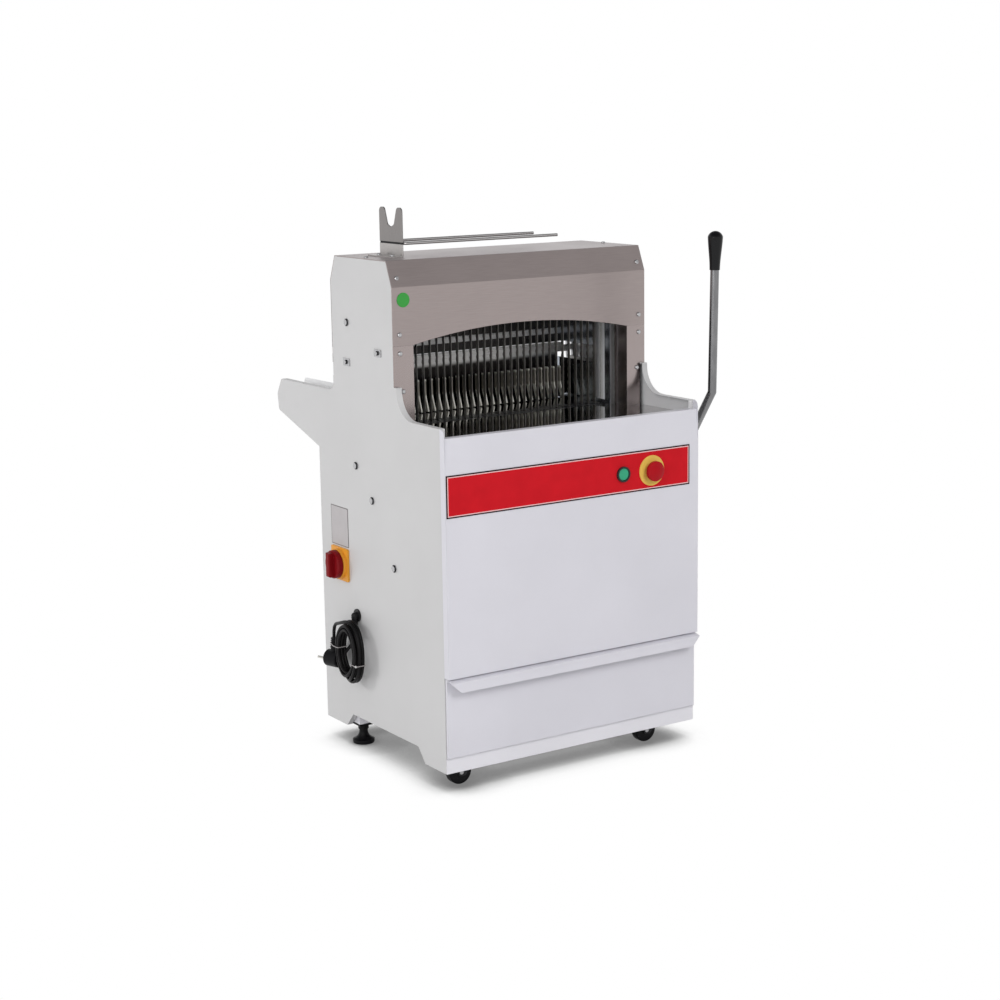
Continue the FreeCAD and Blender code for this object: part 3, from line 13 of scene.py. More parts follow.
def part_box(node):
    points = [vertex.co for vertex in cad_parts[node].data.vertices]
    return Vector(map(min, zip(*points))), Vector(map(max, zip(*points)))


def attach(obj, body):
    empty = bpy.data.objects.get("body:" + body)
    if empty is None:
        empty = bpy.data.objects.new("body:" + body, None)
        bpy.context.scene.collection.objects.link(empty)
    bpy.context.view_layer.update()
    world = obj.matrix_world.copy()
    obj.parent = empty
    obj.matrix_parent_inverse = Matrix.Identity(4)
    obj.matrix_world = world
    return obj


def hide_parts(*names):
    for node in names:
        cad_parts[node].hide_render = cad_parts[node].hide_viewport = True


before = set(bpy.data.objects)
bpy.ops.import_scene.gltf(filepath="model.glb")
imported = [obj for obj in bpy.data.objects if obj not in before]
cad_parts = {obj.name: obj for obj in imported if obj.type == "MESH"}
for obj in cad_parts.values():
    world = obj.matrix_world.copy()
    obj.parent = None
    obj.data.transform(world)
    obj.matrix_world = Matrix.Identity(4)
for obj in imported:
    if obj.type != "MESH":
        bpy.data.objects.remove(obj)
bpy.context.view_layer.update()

cover_low, cover_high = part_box("front_cover")
half_width = (cover_high.x - cover_low.x) / 2
middle_x = cover_low.x + half_width
front_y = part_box("side_panel_left")[0].y


def at(x, y, z):
    """Place in the shared frame of a point given in the machine's own frame."""
    return Vector((middle_x + x, front_y + y, z))


# ------------------------------------------------------------------------- camera
camera_place = at(-2.2069, -3.1104, 1.2942)
camera_yaw = math.radians(-33.2412)
camera_pitch = math.radians(11.1781)
camera_roll = math.radians(-0.8776)
camera_lens = 71.94             # mm, on a sensor of the next width
camera_sensor = 36.0
camera_reach = 60.0


def make_camera():
    """Camera solved from the photograph's straight edges."""
    forward = Vector((-math.sin(camera_yaw) * math.cos(camera_pitch),
                      math.cos(camera_yaw) * math.cos(camera_pitch), -math.sin(camera_pitch)))
    level = Vector((math.cos(camera_yaw), math.sin(camera_yaw), 0))
    upright = level.cross(forward)
    right = level * math.cos(camera_roll) + upright * math.sin(camera_roll)
    up = upright * math.cos(camera_roll) - level * math.sin(camera_roll)
    turn = Matrix((right, up, -forward)).transposed().to_4x4()
    camera = bpy.data.cameras.new("camera")
    camera.lens = camera_lens
    camera.sensor_fit = "HORIZONTAL"
    camera.sensor_width = camera_sensor
    camera.clip_end = camera_reach
    holder = bpy.data.objects.new("camera", camera)
    holder.matrix_world = Matrix.Translation(camera_place) @ turn
    bpy.context.scene.collection.objects.link(holder)
    bpy.context.scene.camera = holder


# ------------------------------------------------------------- light, floor, world
ambient_strength = 0.45
ambient_colour = (0.98, 0.985, 1.0)
white = (1.0, 1.0, 1.0)
overhead_grey = (0.22, 0.22, 0.23)
sky_heights = (0.24, 0.80)      # sine of the height where the white ends, and where the grey starts
floor_reach = 14.0
floor_grey = (0.86, 0.86, 0.86)
shadow_reach = 0.095            # farthest surface that still shades the floor
shadow_grey = (0.20, 0.20, 0.20)
shadow_openness = (0.38, 0.91)  # share of open sky at the darkest shade, and at none
shadow_samples = 16
machine_middle = at(0, 0.2, 0.6)
coil_side = at(-0.3, 0.3, 0.3)
lamps = (                       # name, place, target, size, watts, seen in mirrors
    ("key", at(0.35, -3.0, 2.5), machine_middle, 1.5, 44.5, False),
    ("fill", at(-3.0, -1.4, 1.8), machine_middle, 2.2, 32.0, True),
    ("side", at(-2.9, 2.4, 1.5), coil_side, 0.7, 32.0, False),
)


def two_tones(nodes, places, colours):
    """Colour ramp from one colour at the first place to another at the second."""
    node = nodes.new("ShaderNodeValToRGB")
    for element, place, colour in zip(node.color_ramp.elements, places, colours):
        element.position = place
        element.color = (*colour, 1.0)
    return node


def background_rays(nodes, links):
    """1 for the rays that show the background: camera, mirror and glass."""
    path = nodes.new("ShaderNodeLightPath")
    total = path.outputs["Is Camera Ray"]
    for name in ("Is Glossy Ray", "Is Transmission Ray"):
        add = nodes.new("ShaderNodeMath")
        add.operation = "ADD"
        add.use_clamp = True
        links.new(total, add.inputs[0])
        links.new(path.outputs[name], add.inputs[1])
        total = add.outputs[0]
    return total


def light_and_show(nodes, links, lighting, shown, out):
    """Output that lights with one shader and shows the other as background."""
    mix = nodes.new("ShaderNodeMixShader")
    links.new(background_rays(nodes, links), mix.inputs["Fac"])
    links.new(lighting.outputs[0], mix.inputs[1])
    links.new(shown.outputs[0], mix.inputs[2])
    links.new(mix.outputs[0], out.inputs["Surface"])


def make_world():
    """White round the horizon and greyer overhead, with a paler ambient light."""
    world = bpy.data.worlds.new("studio")
    world.use_nodes = True
    nodes = world.node_tree.nodes
    links = world.node_tree.links
    nodes.clear()
    out = nodes.new("ShaderNodeOutputWorld")
    ambient = nodes.new("ShaderNodeBackground")
    ambient.inputs["Strength"].default_value = ambient_strength
    ambient.inputs["Color"].default_value = (*ambient_colour, 1.0)
    seen = nodes.new("ShaderNodeBackground")
    tone = two_tones(nodes, sky_heights, (white, overhead_grey))
    sky = nodes.new("ShaderNodeTexCoord")
    height = nodes.new("ShaderNodeSeparateXYZ")
    links.new(sky.outputs["Generated"], height.inputs["Vector"])
    links.new(height.outputs["Z"], tone.inputs["Fac"])
    links.new(tone.outputs["Color"], seen.inputs["Color"])
    light_and_show(nodes, links, ambient, seen, out)
    bpy.context.scene.world = world


def make_lamp(name, place, target, size, watts, in_mirrors):
    """Square area lamp aimed at a target."""
    lamp = bpy.data.lights.new(name, "AREA")
    lamp.shape = "SQUARE"
    lamp.size = size
    lamp.energy = watts
    holder = bpy.data.objects.new(name, lamp)
    holder.location = place
    holder.rotation_euler = (target - place).to_track_quat("-Z", "Y").to_euler()
    holder.visible_glossy = in_mirrors
    bpy.context.scene.collection.objects.link(holder)


def make_floor():
    """Pale floor that is seen as white, with a painted soft shadow: its seen glow darkens where the
    object closes off the open sky nearby.
    """
    bm = bmesh.new()
    bmesh.ops.create_grid(bm, x_segments=8, y_segments=8, size=floor_reach)
    mesh = bpy.data.meshes.new("floor")
    bm.to_mesh(mesh)
    bm.free()
    floor = bpy.data.objects.new("floor", mesh)
    bpy.context.scene.collection.objects.link(floor)
    material = bpy.data.materials.new("floor")
    material.use_nodes = True
    nodes = material.node_tree.nodes
    links = material.node_tree.links
    nodes.clear()
    out = nodes.new("ShaderNodeOutputMaterial")
    matt = nodes.new("ShaderNodeBsdfDiffuse")
    matt.inputs["Color"].default_value = (*floor_grey, 1.0)
    open_sky = nodes.new("ShaderNodeAmbientOcclusion")
    open_sky.samples = shadow_samples
    open_sky.inputs["Distance"].default_value = shadow_reach
    tone = two_tones(nodes, shadow_openness, (shadow_grey, white))
    tone.color_ramp.interpolation = "EASE"
    glow = nodes.new("ShaderNodeEmission")
    links.new(open_sky.outputs["AO"], tone.inputs["Fac"])
    links.new(tone.outputs["Color"], glow.inputs["Color"])
    light_and_show(nodes, links, matt, glow, out)
    mesh.materials.append(material)


# ----------------------------------------------------------------------- materials
noise_range = (0.3, 0.7)        # most of a noise's values lie between these
soft_edge = 0.0008              # radius at which a piece's edges look rounded
edge_samples = 4
square_on = 0.9                 # least share of a normal along an axis, for a face square to it
satin = 0.5
grain_stretch = 0.03            # scale of a grain along its own axis, against across it
grain_share = 0.65              # of grain in brushed steel's tone; the rest is a slow cloud


def blank_material(name):
    """New material with its node tree, its shader and the object coordinates."""
    material = bpy.data.materials.new(name)
    material.use_nodes = True
    tree = material.node_tree
    shader = tree.nodes["Principled BSDF"]
    place = tree.nodes.new("ShaderNodeTexCoord")
    return material, tree, shader, place.outputs["Object"]


def noise(tree, place, scale, detail, stretch=(1, 1, 1), roughness=0.5):
    """Noise value in the object's own coordinates, stretched along its axes."""
    mapping = tree.nodes.new("ShaderNodeMapping")
    mapping.inputs["Scale"].default_value = stretch
    tree.links.new(place, mapping.inputs["Vector"])
    texture = tree.nodes.new("ShaderNodeTexNoise")
    texture.inputs["Scale"].default_value = scale
    texture.inputs["Detail"].default_value = detail
    texture.inputs["Roughness"].default_value = roughness
    tree.links.new(mapping.outputs[0], texture.inputs["Vector"])
    return texture.outputs["Fac"]


def ramp(tree, value, low, high):
    """Maps a noise to a number between low and high."""
    node = tree.nodes.new("ShaderNodeMapRange")
    node.inputs["From Min"].default_value = noise_range[0]
    node.inputs["From Max"].default_value = noise_range[1]
    node.inputs["To Min"].default_value = low
    node.inputs["To Max"].default_value = high
    tree.links.new(value, node.inputs["Value"])
    return node.outputs["Result"]


def tint(tree, value, first, second):
    """Colour between two colours, by a noise."""
    node = two_tones(tree.nodes, noise_range, (first, second))
    tree.links.new(value, node.inputs["Fac"])
    return node.outputs["Color"]


def relief(tree, shader, value, strength, depth, edge):
    """Bump over slightly rounded edges."""
    bump = tree.nodes.new("ShaderNodeBump")
    bump.inputs["Strength"].default_value = strength
    bump.inputs["Distance"].default_value = depth
    tree.links.new(value, bump.inputs["Height"])
    if edge > 0:
        bevel = tree.nodes.new("ShaderNodeBevel")
        bevel.samples = edge_samples
        bevel.inputs["Radius"].default_value = edge
        tree.links.new(bevel.outputs[0], bump.inputs["Normal"])
    tree.links.new(bump.outputs[0], shader.inputs["Normal"])


def shade(colour, factor):
    """Colour made darker or paler by a factor."""
    return tuple(min(1.0, channel * factor) for channel in colour)


def maths(tree, operation, *values):
    """Output of a math node on sockets or numbers."""
    node = tree.nodes.new("ShaderNodeMath")
    node.operation = operation
    for value, socket in zip(values, node.inputs):
        if isinstance(value, (int, float)):
            socket.default_value = value
        else:
            tree.links.new(value, socket)
    return node.outputs[0]


def axes(tree, vector):
    """Outputs X, Y and Z of a vector."""
    node = tree.nodes.new("ShaderNodeSeparateXYZ")
    tree.links.new(vector, node.inputs[0])
    return node.outputs


def normal_axes(tree):
    """Outputs X, Y and Z of the surface's normal."""
    return axes(tree, tree.nodes.new("ShaderNodeNewGeometry").outputs["Normal"])


def both(tree, first, second):
    """1 where two masks are both 1."""
    return maths(tree, "MULTIPLY", first, second)


def inverse(tree, mask):
    """1 where the mask is 0."""
    return maths(tree, "SUBTRACT", 1.0, mask)


def between(tree, value, low, high):
    """1 where the value lies between two numbers."""
    return both(tree, maths(tree, "GREATER_THAN", value, low),
                maths(tree, "LESS_THAN", value, high))


def distance(tree, value, middle):
    """How far a value lies from a number."""
    return maths(tree, "ABSOLUTE", maths(tree, "SUBTRACT", value, middle))


def edge_distance(tree, place, spans):
    """Depth inside an oblong, given as two spans: axis, low end and high end."""
    sides = [maths(tree, "SUBTRACT", (last - first) / 2,
                   distance(tree, place[axis], (first + last) / 2))
             for axis, first, last in spans]
    return maths(tree, "MINIMUM", *sides)


def soft_step(tree, value, low, high):
    """0 below the first number and 1 above the second, smooth between them."""
    node = tree.nodes.new("ShaderNodeMapRange")
    node.interpolation_type = "SMOOTHSTEP"
    node.inputs["From Min"].default_value = low
    node.inputs["From Max"].default_value = high
    tree.links.new(value, node.inputs["Value"])
    return node.outputs["Result"]


def paint(tree, shader, mask, colour):
    """Lays one more colour over the shader's own, where the mask is 1."""
    base = shader.inputs["Base Color"]
    node = tree.nodes.new("ShaderNodeMix")
    node.data_type = "RGBA"
    tree.links.new(base.links[0].from_socket, node.inputs["A"])
    node.inputs["B"].default_value = (*colour, 1.0)
    tree.links.new(mask, node.inputs["Factor"])
    tree.links.new(node.outputs["Result"], base)


def set_where(tree, shader, mask, name, value):
    """Gives a shader's socket another value where the mask is 1."""
    socket = shader.inputs[name]
    node = tree.nodes.new("ShaderNodeMix")
    node.data_type = "FLOAT"
    if socket.links:
        tree.links.new(socket.links[0].from_socket, node.inputs["A"])
    else:
        node.inputs["A"].default_value = socket.default_value
    node.inputs["B"].default_value = value
    tree.links.new(mask, node.inputs["Factor"])
    tree.links.new(node.outputs["Result"], socket)


def paint_metal(tree, shader, mask, colour):
    """Lays a satin paint over bare metal, where the mask is 1."""
    paint(tree, shader, mask, colour)
    set_where(tree, shader, mask, "Metallic", 0.0)
    set_where(tree, shader, mask, "Roughness", satin)


def parts_of(material):
    """Node tree, shader and object coordinates X, Y and Z of a finished material."""
    tree = material.node_tree
    place = next(node for node in tree.nodes if node.type == "TEX_COORD")
    return tree, tree.nodes["Principled BSDF"], axes(tree, place.outputs["Object"])


def enamel(name, colour, roughness=0.34):
    """Powder-coated sheet: faint orange peel, and a slow drift of tone and gloss."""
    material, tree, shader, place = blank_material(name)
    drift = noise(tree, place, 5.0, 4.0)
    tree.links.new(tint(tree, drift, shade(colour, 0.965), shade(colour, 1.02)),
                   shader.inputs["Base Color"])
    tree.links.new(ramp(tree, drift, roughness - 0.05, roughness + 0.07),
                   shader.inputs["Roughness"])
    relief(tree, shader, noise(tree, place, 700.0, 2.0), 0.10, 0.0004, 0.0012)
    return material


def brushed(name, colour, roughness, along, contrast=0.10):
    """Brushed steel with its grain along one axis, 'x', 'y' or 'z'."""
    material, tree, shader, place = blank_material(name)
    shader.inputs["Metallic"].default_value = 1.0
    stretch = tuple(grain_stretch if axis == along else 1.0 for axis in "xyz")
    grain = noise(tree, place, 900.0, 3.0, stretch, 0.6)
    cloud = noise(tree, place, 9.0, 3.0)
    mixed = maths(tree, "MULTIPLY_ADD", grain, grain_share,
                  maths(tree, "MULTIPLY", cloud, 1 - grain_share))
    tree.links.new(tint(tree, mixed, shade(colour, 1 - contrast), shade(colour, 1 + contrast)),
                   shader.inputs["Base Color"])
    tree.links.new(ramp(tree, mixed, roughness - 0.07, roughness + 0.09),
                   shader.inputs["Roughness"])
    relief(tree, shader, grain, 0.12, 0.0002, soft_edge)
    return material


def polished(name, colour, roughness):
    """Bright sheet or bar with fine scratches and faint smears."""
    material, tree, shader, place = blank_material(name)
    shader.inputs["Metallic"].default_value = 1.0
    smear = noise(tree, place, 14.0, 5.0)
    scratch = noise(tree, place, 600.0, 2.0, (1.0, 0.05, 1.0))
    tree.links.new(tint(tree, smear, shade(colour, 0.95), shade(colour, 1.03)),
                   shader.inputs["Base Color"])
    tree.links.new(ramp(tree, smear, roughness - 0.04, roughness + 0.06),
                   shader.inputs["Roughness"])
    relief(tree, shader, scratch, 0.03, 0.0001, 0.0005)
    return material


def plastic(name, colour, roughness, grain=0.12, edge=soft_edge, gloss=0.3):
    """Moulded plastic or rubber with a fine grain."""
    material, tree, shader, place = blank_material(name)
    shader.inputs["Specular IOR Level"].default_value = gloss
    cloud = noise(tree, place, 30.0, 4.0)
    tree.links.new(tint(tree, cloud, shade(colour, 0.94), shade(colour, 1.04)),
                   shader.inputs["Base Color"])
    tree.links.new(ramp(tree, cloud, roughness - 0.05, roughness + 0.08),
                   shader.inputs["Roughness"])
    relief(tree, shader, noise(tree, place, 1500.0, 2.0), grain, 0.0003, edge)
    return material


def casting(name, colour):
    """Painted iron casting with a pebbled skin."""
    material, tree, shader, place = blank_material(name)
    cloud = noise(tree, place, 60.0, 5.0)
    tree.links.new(tint(tree, cloud, shade(colour, 0.8), shade(colour, 1.15)),
                   shader.inputs["Base Color"])
    tree.links.new(ramp(tree, cloud, 0.45, 0.65), shader.inputs["Roughness"])
    relief(tree, shader, noise(tree, place, 260.0, 4.0), 0.4, 0.0008, 0.001)
    return material


def dress(names, material):
    """Gives CAD nodes a material in every slot."""
    for name in names:
        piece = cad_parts[name]
        if not piece.material_slots:
            piece.data.materials.append(material)
        for slot in piece.material_slots:
            slot.link = "OBJECT"
            slot.material = material


# Colours and places of the finishes that change across a piece. Heights are from the floor.
steel_grey = (0.378, 0.325, 0.316)
# painted sheen of the hood's flat top
hood_top_sheen_grey = (0.485, 0.435, 0.435)
# painted light: paler tone for the side panels' shaded inner faces
panel_inner_lit = (0.92, 0.92, 0.93)
# painted light on the infeed walls' faces against the side panels
liner_lit_white = (0.92, 0.92, 0.92)
# painted highlight on the stiles' faces towards the chamber
stile_lit_white = (0.94, 0.95, 0.97)
stile_reach = 0.2535            # from the middle plane, past the stiles' inner faces
cover_depth = (0.2, 0.4020)     # y of the rear upper cover's inside
# height of the pale band painted across the rear upper cover's inside
pale_band_heights = (0.8115, 0.8245)
outline_width = 0.0024
line_span = (0.0026, 0.0044)    # the band's thin line, from its edge inwards
comb_tips = 0.033               # height of the fingers' slanted part, under their bend
comb_front = 0.3575             # y of the front edges over the bend
comb_slant = 0.36               # how far the edges run forward for each length under the bend
comb_bend = 0.003               # half the height over which the painted shade starts at the bend
comb_lit_tip = (0.005, 0.002)       # from the comb's top down, where its painted shade ends and the lit tips begin
comb_lit_edge = (0.0085, 0.0100)    # depth at which the painted highlight of the front edges turns into the painted shade of the cheeks
beam_heights = (0.764, 0.776)   # where the beam's face turns from painted shade to bright
beam_upward = 0.6               # least upward share of the normal on its top, painted dark as shade
bolt_rise = 0.0012              # from the side panels' outer faces
caster_x, axle_y, axle_z = 0.226, 0.044, 0.025
caster_trail = 0.020            # from the kingpin to the axle
axle_radius = 0.0045
holder_face = -0.2285           # x: the bag holder's plate shows left of this,
knuckle_face = -0.2279          # and its knuckle right of this
score_height = 0.0020           # half the height of the painted shade in the groove at the hinge
knuckle_height = 0.0060
plug_rear = at(-0.3295, 0.4075, 0.186)
plug_skin = 0.0004              # along the plug, where its pins start


def panel_finish():
    """Powder coat of the side panels, with painted light: their faces towards the machine are
    painted paler, as if lit.
    """
    material = enamel("panel_paint", (0.610, 0.605, 0.605))
    tree, shader, place = parts_of(material)
    outward = maths(tree, "MULTIPLY", normal_axes(tree)["X"],
                    maths(tree, "SUBTRACT", place["X"], middle_x))
    # painted light on the faces towards the machine
    paint(tree, shader, maths(tree, "LESS_THAN", outward, -half_width / 2), panel_inner_lit)
    return material


def column_finish():
    """Brushed steel of the hood and fascia, with a painted sheen: its flat top is painted lighter.
    """
    material = brushed("column_steel", steel_grey, 0.36, "x")
    tree, shader, _ = parts_of(material)
    level = maths(tree, "GREATER_THAN", normal_axes(tree)["Z"], square_on)
    paint(tree, shader, level, hood_top_sheen_grey)
    return material


def rear_cover_finish():
    """Brushed outside; the inside is painted dark as shade, but for a pale band painted across it.
    """
    material = brushed("rear_cover_steel", steel_grey, 0.36, "x")
    tree, shader, place = parts_of(material)
    inside = between(tree, place["Y"], *(at(0, y, 0).y for y in cover_depth))
    pale_band = between(tree, place["Z"], *pale_band_heights)
    bright = both(tree, inside, pale_band)
    # painted shade: near black over the inside, off the band
    paint(tree, shader, both(tree, inside, inverse(tree, pale_band)), (0.035, 0.033, 0.032))
    paint(tree, shader, bright, (0.88, 0.87, 0.86))
    set_where(tree, shader, bright, "Metallic", 0.2)
    return material


def band_finish():
    """Red foil with a black outline and a thin pale line inside it."""
    material = plastic("band_red", (0.60, 0.012, 0.020), 0.45, 0.02, 0.0, 0.05)
    tree, shader, place = parts_of(material)
    low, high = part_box("control_band")
    inward = edge_distance(tree, place, (("X", low.x, high.x), ("Z", low.z, high.z)))
    paint(tree, shader, between(tree, inward, *line_span), (0.80, 0.55, 0.55))
    paint(tree, shader, maths(tree, "LESS_THAN", inward, outline_width), (0.016, 0.013, 0.014))
    return material


def frame_finish():
    """Ground steel, with a painted highlight: the stiles' faces towards the chamber are painted
    pale and satin, as lit.
    """
    material = brushed("frame_steel", (0.66, 0.65, 0.64), 0.25, "x")
    tree, shader, place = parts_of(material)
    inner = maths(tree, "LESS_THAN", distance(tree, place["X"], middle_x), stile_reach)
    sideways = maths(tree, "ABSOLUTE", normal_axes(tree)["X"])
    facing = maths(tree, "GREATER_THAN", sideways, square_on)
    paint_metal(tree, shader, both(tree, inner, facing), stile_lit_white)
    return material


def liner_finish(name, side):
    """Polished infeed wall, with painted light: the face against the side panel (side -1 or 1) is
    painted white, as lit.
    """
    material = polished(name, (0.36, 0.39, 0.43), 0.16)
    tree, shader, _ = parts_of(material)
    outward = maths(tree, "MULTIPLY", normal_axes(tree)["X"], side)
    paint_metal(tree, shader, maths(tree, "GREATER_THAN", outward, 0.5), liner_lit_white)
    return material


def comb_finish():
    """Fingers with painted light: painted highlights on the front edges and tips, painted shade
    over the bend, and dark painted shade on the cheeks behind them.
    """
    material = brushed("comb_metal", (0.94, 0.91, 0.82), 0.40, "z")
    tree, shader, place = parts_of(material)
    low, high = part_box("pusher_comb")
    bend_z = low.z + comb_tips
    below = maths(tree, "MAXIMUM", maths(tree, "SUBTRACT", bend_z, place["Z"]), 0.0)
    forward = maths(tree, "MULTIPLY", below, comb_slant)
    front = maths(tree, "SUBTRACT", at(0, comb_front, 0).y, forward)
    shaded_upper = soft_step(tree, place["Z"], bend_z - comb_bend, bend_z + comb_bend)
    tip = soft_step(tree, place["Z"], *(high.z - down for down in comb_lit_tip))
    # painted shade over the bend, but not on the tips
    paint(tree, shader, both(tree, shaded_upper, inverse(tree, tip)), (0.36, 0.335, 0.285))
    behind = soft_step(tree, maths(tree, "SUBTRACT", place["Y"], front), *comb_lit_edge)
    # painted shade on the cheeks behind the front edges
    paint(tree, shader, behind, (0.012, 0.011, 0.010))
    set_where(tree, shader, inverse(tree, behind), "Metallic", 0.0)
    return material


def beam_finish():
    """Bright face of the pusher's bar, with painted shade: its top and the plate under it are
    painted dark.
    """
    material = brushed("beam_metal", (0.86, 0.85, 0.83), 0.30, "x")
    tree, shader, place = parts_of(material)
    top = maths(tree, "GREATER_THAN", normal_axes(tree)["Z"], beam_upward)
    lit = soft_step(tree, place["Z"], *beam_heights)
    # painted shade under the lit face, and on the top
    paint(tree, shader, inverse(tree, lit), (0.020, 0.018, 0.017))
    paint(tree, shader, top, (0.04, 0.04, 0.04))
    set_where(tree, shader, lit, "Metallic", 0.3)
    return material


def bolt_finish():
    """Bright flat heads; the bolts on the side panels have their flanks painted near black as
    shade.
    """
    material = brushed("screw_steel", (0.50, 0.50, 0.51), 0.28, "x")
    tree, shader, place = parts_of(material)
    on_panel = maths(tree, "GREATER_THAN", distance(tree, place["X"], middle_x),
                     half_width + bolt_rise)
    sideways = maths(tree, "ABSOLUTE", normal_axes(tree)["X"])
    shaded_flank = maths(tree, "LESS_THAN", sideways, square_on)
    # painted shade on the flanks of the side panels' bolts
    paint(tree, shader, both(tree, on_panel, shaded_flank), (0.03, 0.03, 0.032))
    return material


def fork_finish(name, side):
    """Blackened caster fork with a bright axle end; side is -1 or 1."""
    material = brushed(name, (0.035, 0.035, 0.037), 0.42, "z")
    tree, shader, place = parts_of(material)
    hub = at(side * caster_x - caster_trail, axle_y, axle_z)
    across = maths(tree, "POWER", maths(tree, "SUBTRACT", place["X"], hub.x), 2.0)
    upward = maths(tree, "POWER", maths(tree, "SUBTRACT", place["Z"], hub.z), 2.0)
    near = maths(tree, "LESS_THAN", maths(tree, "ADD", across, upward), axle_radius ** 2)
    paint(tree, shader, near, (0.42, 0.42, 0.43))
    return material


def holder_finish():
    """Brushed bag holder with painted light and shade: paler under the hinge as lit, a near-black
    line of painted shade in the groove at the hinge, and a dark knuckle.
    """
    material = brushed("holder_steel", (0.26, 0.245, 0.24), 0.30, "z")
    tree, shader, place = parts_of(material)
    prongs_low, prongs_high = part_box("bag_prongs")
    hinge_z = (prongs_low.z + prongs_high.z) / 2
    plate = maths(tree, "LESS_THAN", place["X"], at(holder_face, 0, 0).x)
    below = between(tree, place["Z"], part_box("bag_fork")[0].z, hinge_z)
    score = between(tree, place["Z"], hinge_z - score_height, hinge_z + score_height)
    beside = maths(tree, "GREATER_THAN", place["X"], at(knuckle_face, 0, 0).x)
    knuckle = between(tree, place["Z"], hinge_z - knuckle_height, hinge_z + knuckle_height)
    # painted light: the plate under the hinge is paler; painted shade fills the groove
    paint(tree, shader, both(tree, plate, below), (0.46, 0.44, 0.43))
    paint(tree, shader, both(tree, plate, score), (0.012, 0.012, 0.012))
    paint(tree, shader, both(tree, beside, knuckle), (0.10, 0.095, 0.095))
    return material


def plug_finish():
    """Black plug with bright pins."""
    material = plastic("plug_black", (0.006, 0.006, 0.007), 0.42, gloss=0.12)
    tree, shader, place = parts_of(material)
    along_x = maths(tree, "MULTIPLY", maths(tree, "SUBTRACT", place["X"], plug_rear.x), plug_way.x)
    along_y = maths(tree, "MULTIPLY", maths(tree, "SUBTRACT", place["Y"], plug_rear.y), plug_way.y)
    pins = maths(tree, "GREATER_THAN", maths(tree, "ADD", along_x, along_y), plug_skin)
    paint(tree, shader, pins, (0.62, 0.60, 0.56))
    set_where(tree, shader, pins, "Metallic", 1.0)
    return material


def dress_machine():
    """Gives every CAD node its finish."""
    dress(["side_panel_left", "side_panel_right", "rear_cover"], panel_finish())
    # painted light: the plinth's paint is paler than the panels', making up for the light the
    # floor's painted shadow takes away
    dress(["base_frame"], enamel("plinth_paint", (0.80, 0.79, 0.83)))
    dress(["front_cover", "drawer_front"], enamel("cover_paint", (0.705, 0.695, 0.745)))
    dress(["hood", "fascia"], column_finish())
    dress(["rear_upper_cover"], rear_cover_finish())
    dress(["cheek_left", "cheek_right"], polished("cheek_steel", steel_grey, 0.22))
    dress(["outfeed_tray", "infeed_tray"], polished("tray_steel", (0.55, 0.54, 0.54), 0.07))
    dress(["liner_left"], liner_finish("liner_left_steel", -1))
    dress(["liner_right"], liner_finish("liner_right_steel", 1))
    dress(["inner_plate_left", "inner_plate_right", "drawer_box"],
          brushed("plate_steel", (0.30, 0.29, 0.285), 0.42, "y"))
    dress(["guide_left", "guide_right"], plastic("guide_plastic", (0.80, 0.80, 0.79), 0.45))
    dress(["blade_strip"], plastic("strip_plastic", (0.03, 0.03, 0.033), 0.25))
    # painted shade: the blades' steel is painted dark, as they look in the chamber's shade
    dress(["front_blades", "rear_blades"], brushed("blade_steel", (0.24, 0.23, 0.22), 0.35, "z"))
    dress(["front_blade_frame", "rear_blade_frame"], frame_finish())
    dress(["front_drive_rod", "rear_drive_rod", "lever_shaft", "crankshaft", "pusher_arms"],
          brushed("shaft_steel", (0.40, 0.40, 0.41), 0.3, "x"))
    dress(["pusher_comb"], comb_finish())
    dress(["pusher_beam"], beam_finish())
    # partly grain, partly painted reflection: strong light and dark streaks along the lever on a
    # darkened chrome
    dress(["lever_arm"], brushed("lever_chrome", (0.22, 0.22, 0.225), 0.20, "z", 0.30))
    dress(["lever_grip"], plastic("grip_black", (0.004, 0.004, 0.005), 0.12, 0.02, gloss=0.25))
    dress(["shaft_bearings", "crank_pulley", "motor_pulley"], casting("iron", (0.20, 0.21, 0.23)))
    dress(["motor"], casting("motor_paint", (0.05, 0.06, 0.08)))
    dress(["drive_belt"], plastic("belt_rubber", (0.015, 0.015, 0.015), 0.6, 0.3))
    dress(["control_band"], band_finish())
    dress(["start_button"], plastic("button_green", (0.03, 0.36, 0.19), 0.18, 0.03))
    dress(["button_bezel"], plastic("bezel_black", (0.020, 0.020, 0.020), 0.25, 0.03))
    dress(["stop_button"], plastic("stop_red", (0.40, 0.006, 0.012), 0.40, 0.03, gloss=0.12))
    dress(["stop_ring"], plastic("ring_yellow", (0.80, 0.52, 0.10), 0.35, 0.05))
    dress(["switch_plate"], plastic("switch_yellow", (0.82, 0.36, 0.035), 0.35, 0.06))
    dress(["switch_knob"], plastic("knob_red", (0.20, 0.003, 0.006), 0.40, 0.05, gloss=0.12))
    dress(["cable_gland"], plastic("gland_black", (0.012, 0.012, 0.013), 0.36, gloss=0.2))
    dress(["plug"], plug_finish())
    dress(["levelling_foot_left", "levelling_foot_right"],
          plastic("foot_black", (0.006, 0.006, 0.007), 0.38, gloss=0.12))
    dress(["caster_wheel_left", "caster_wheel_right"],
          plastic("wheel_black", (0.007, 0.007, 0.008), 0.38, 0.2, gloss=0.12))
    dress(["caster_fork_left"], fork_finish("fork_left", -1))
    dress(["caster_fork_right"], fork_finish("fork_right", 1))
    dress(["bag_fork"], holder_finish())
    dress(["bag_prongs"], brushed("prong_steel", (0.50, 0.485, 0.48), 0.28, "x"))
    dress(["cover_screws"], bolt_finish())


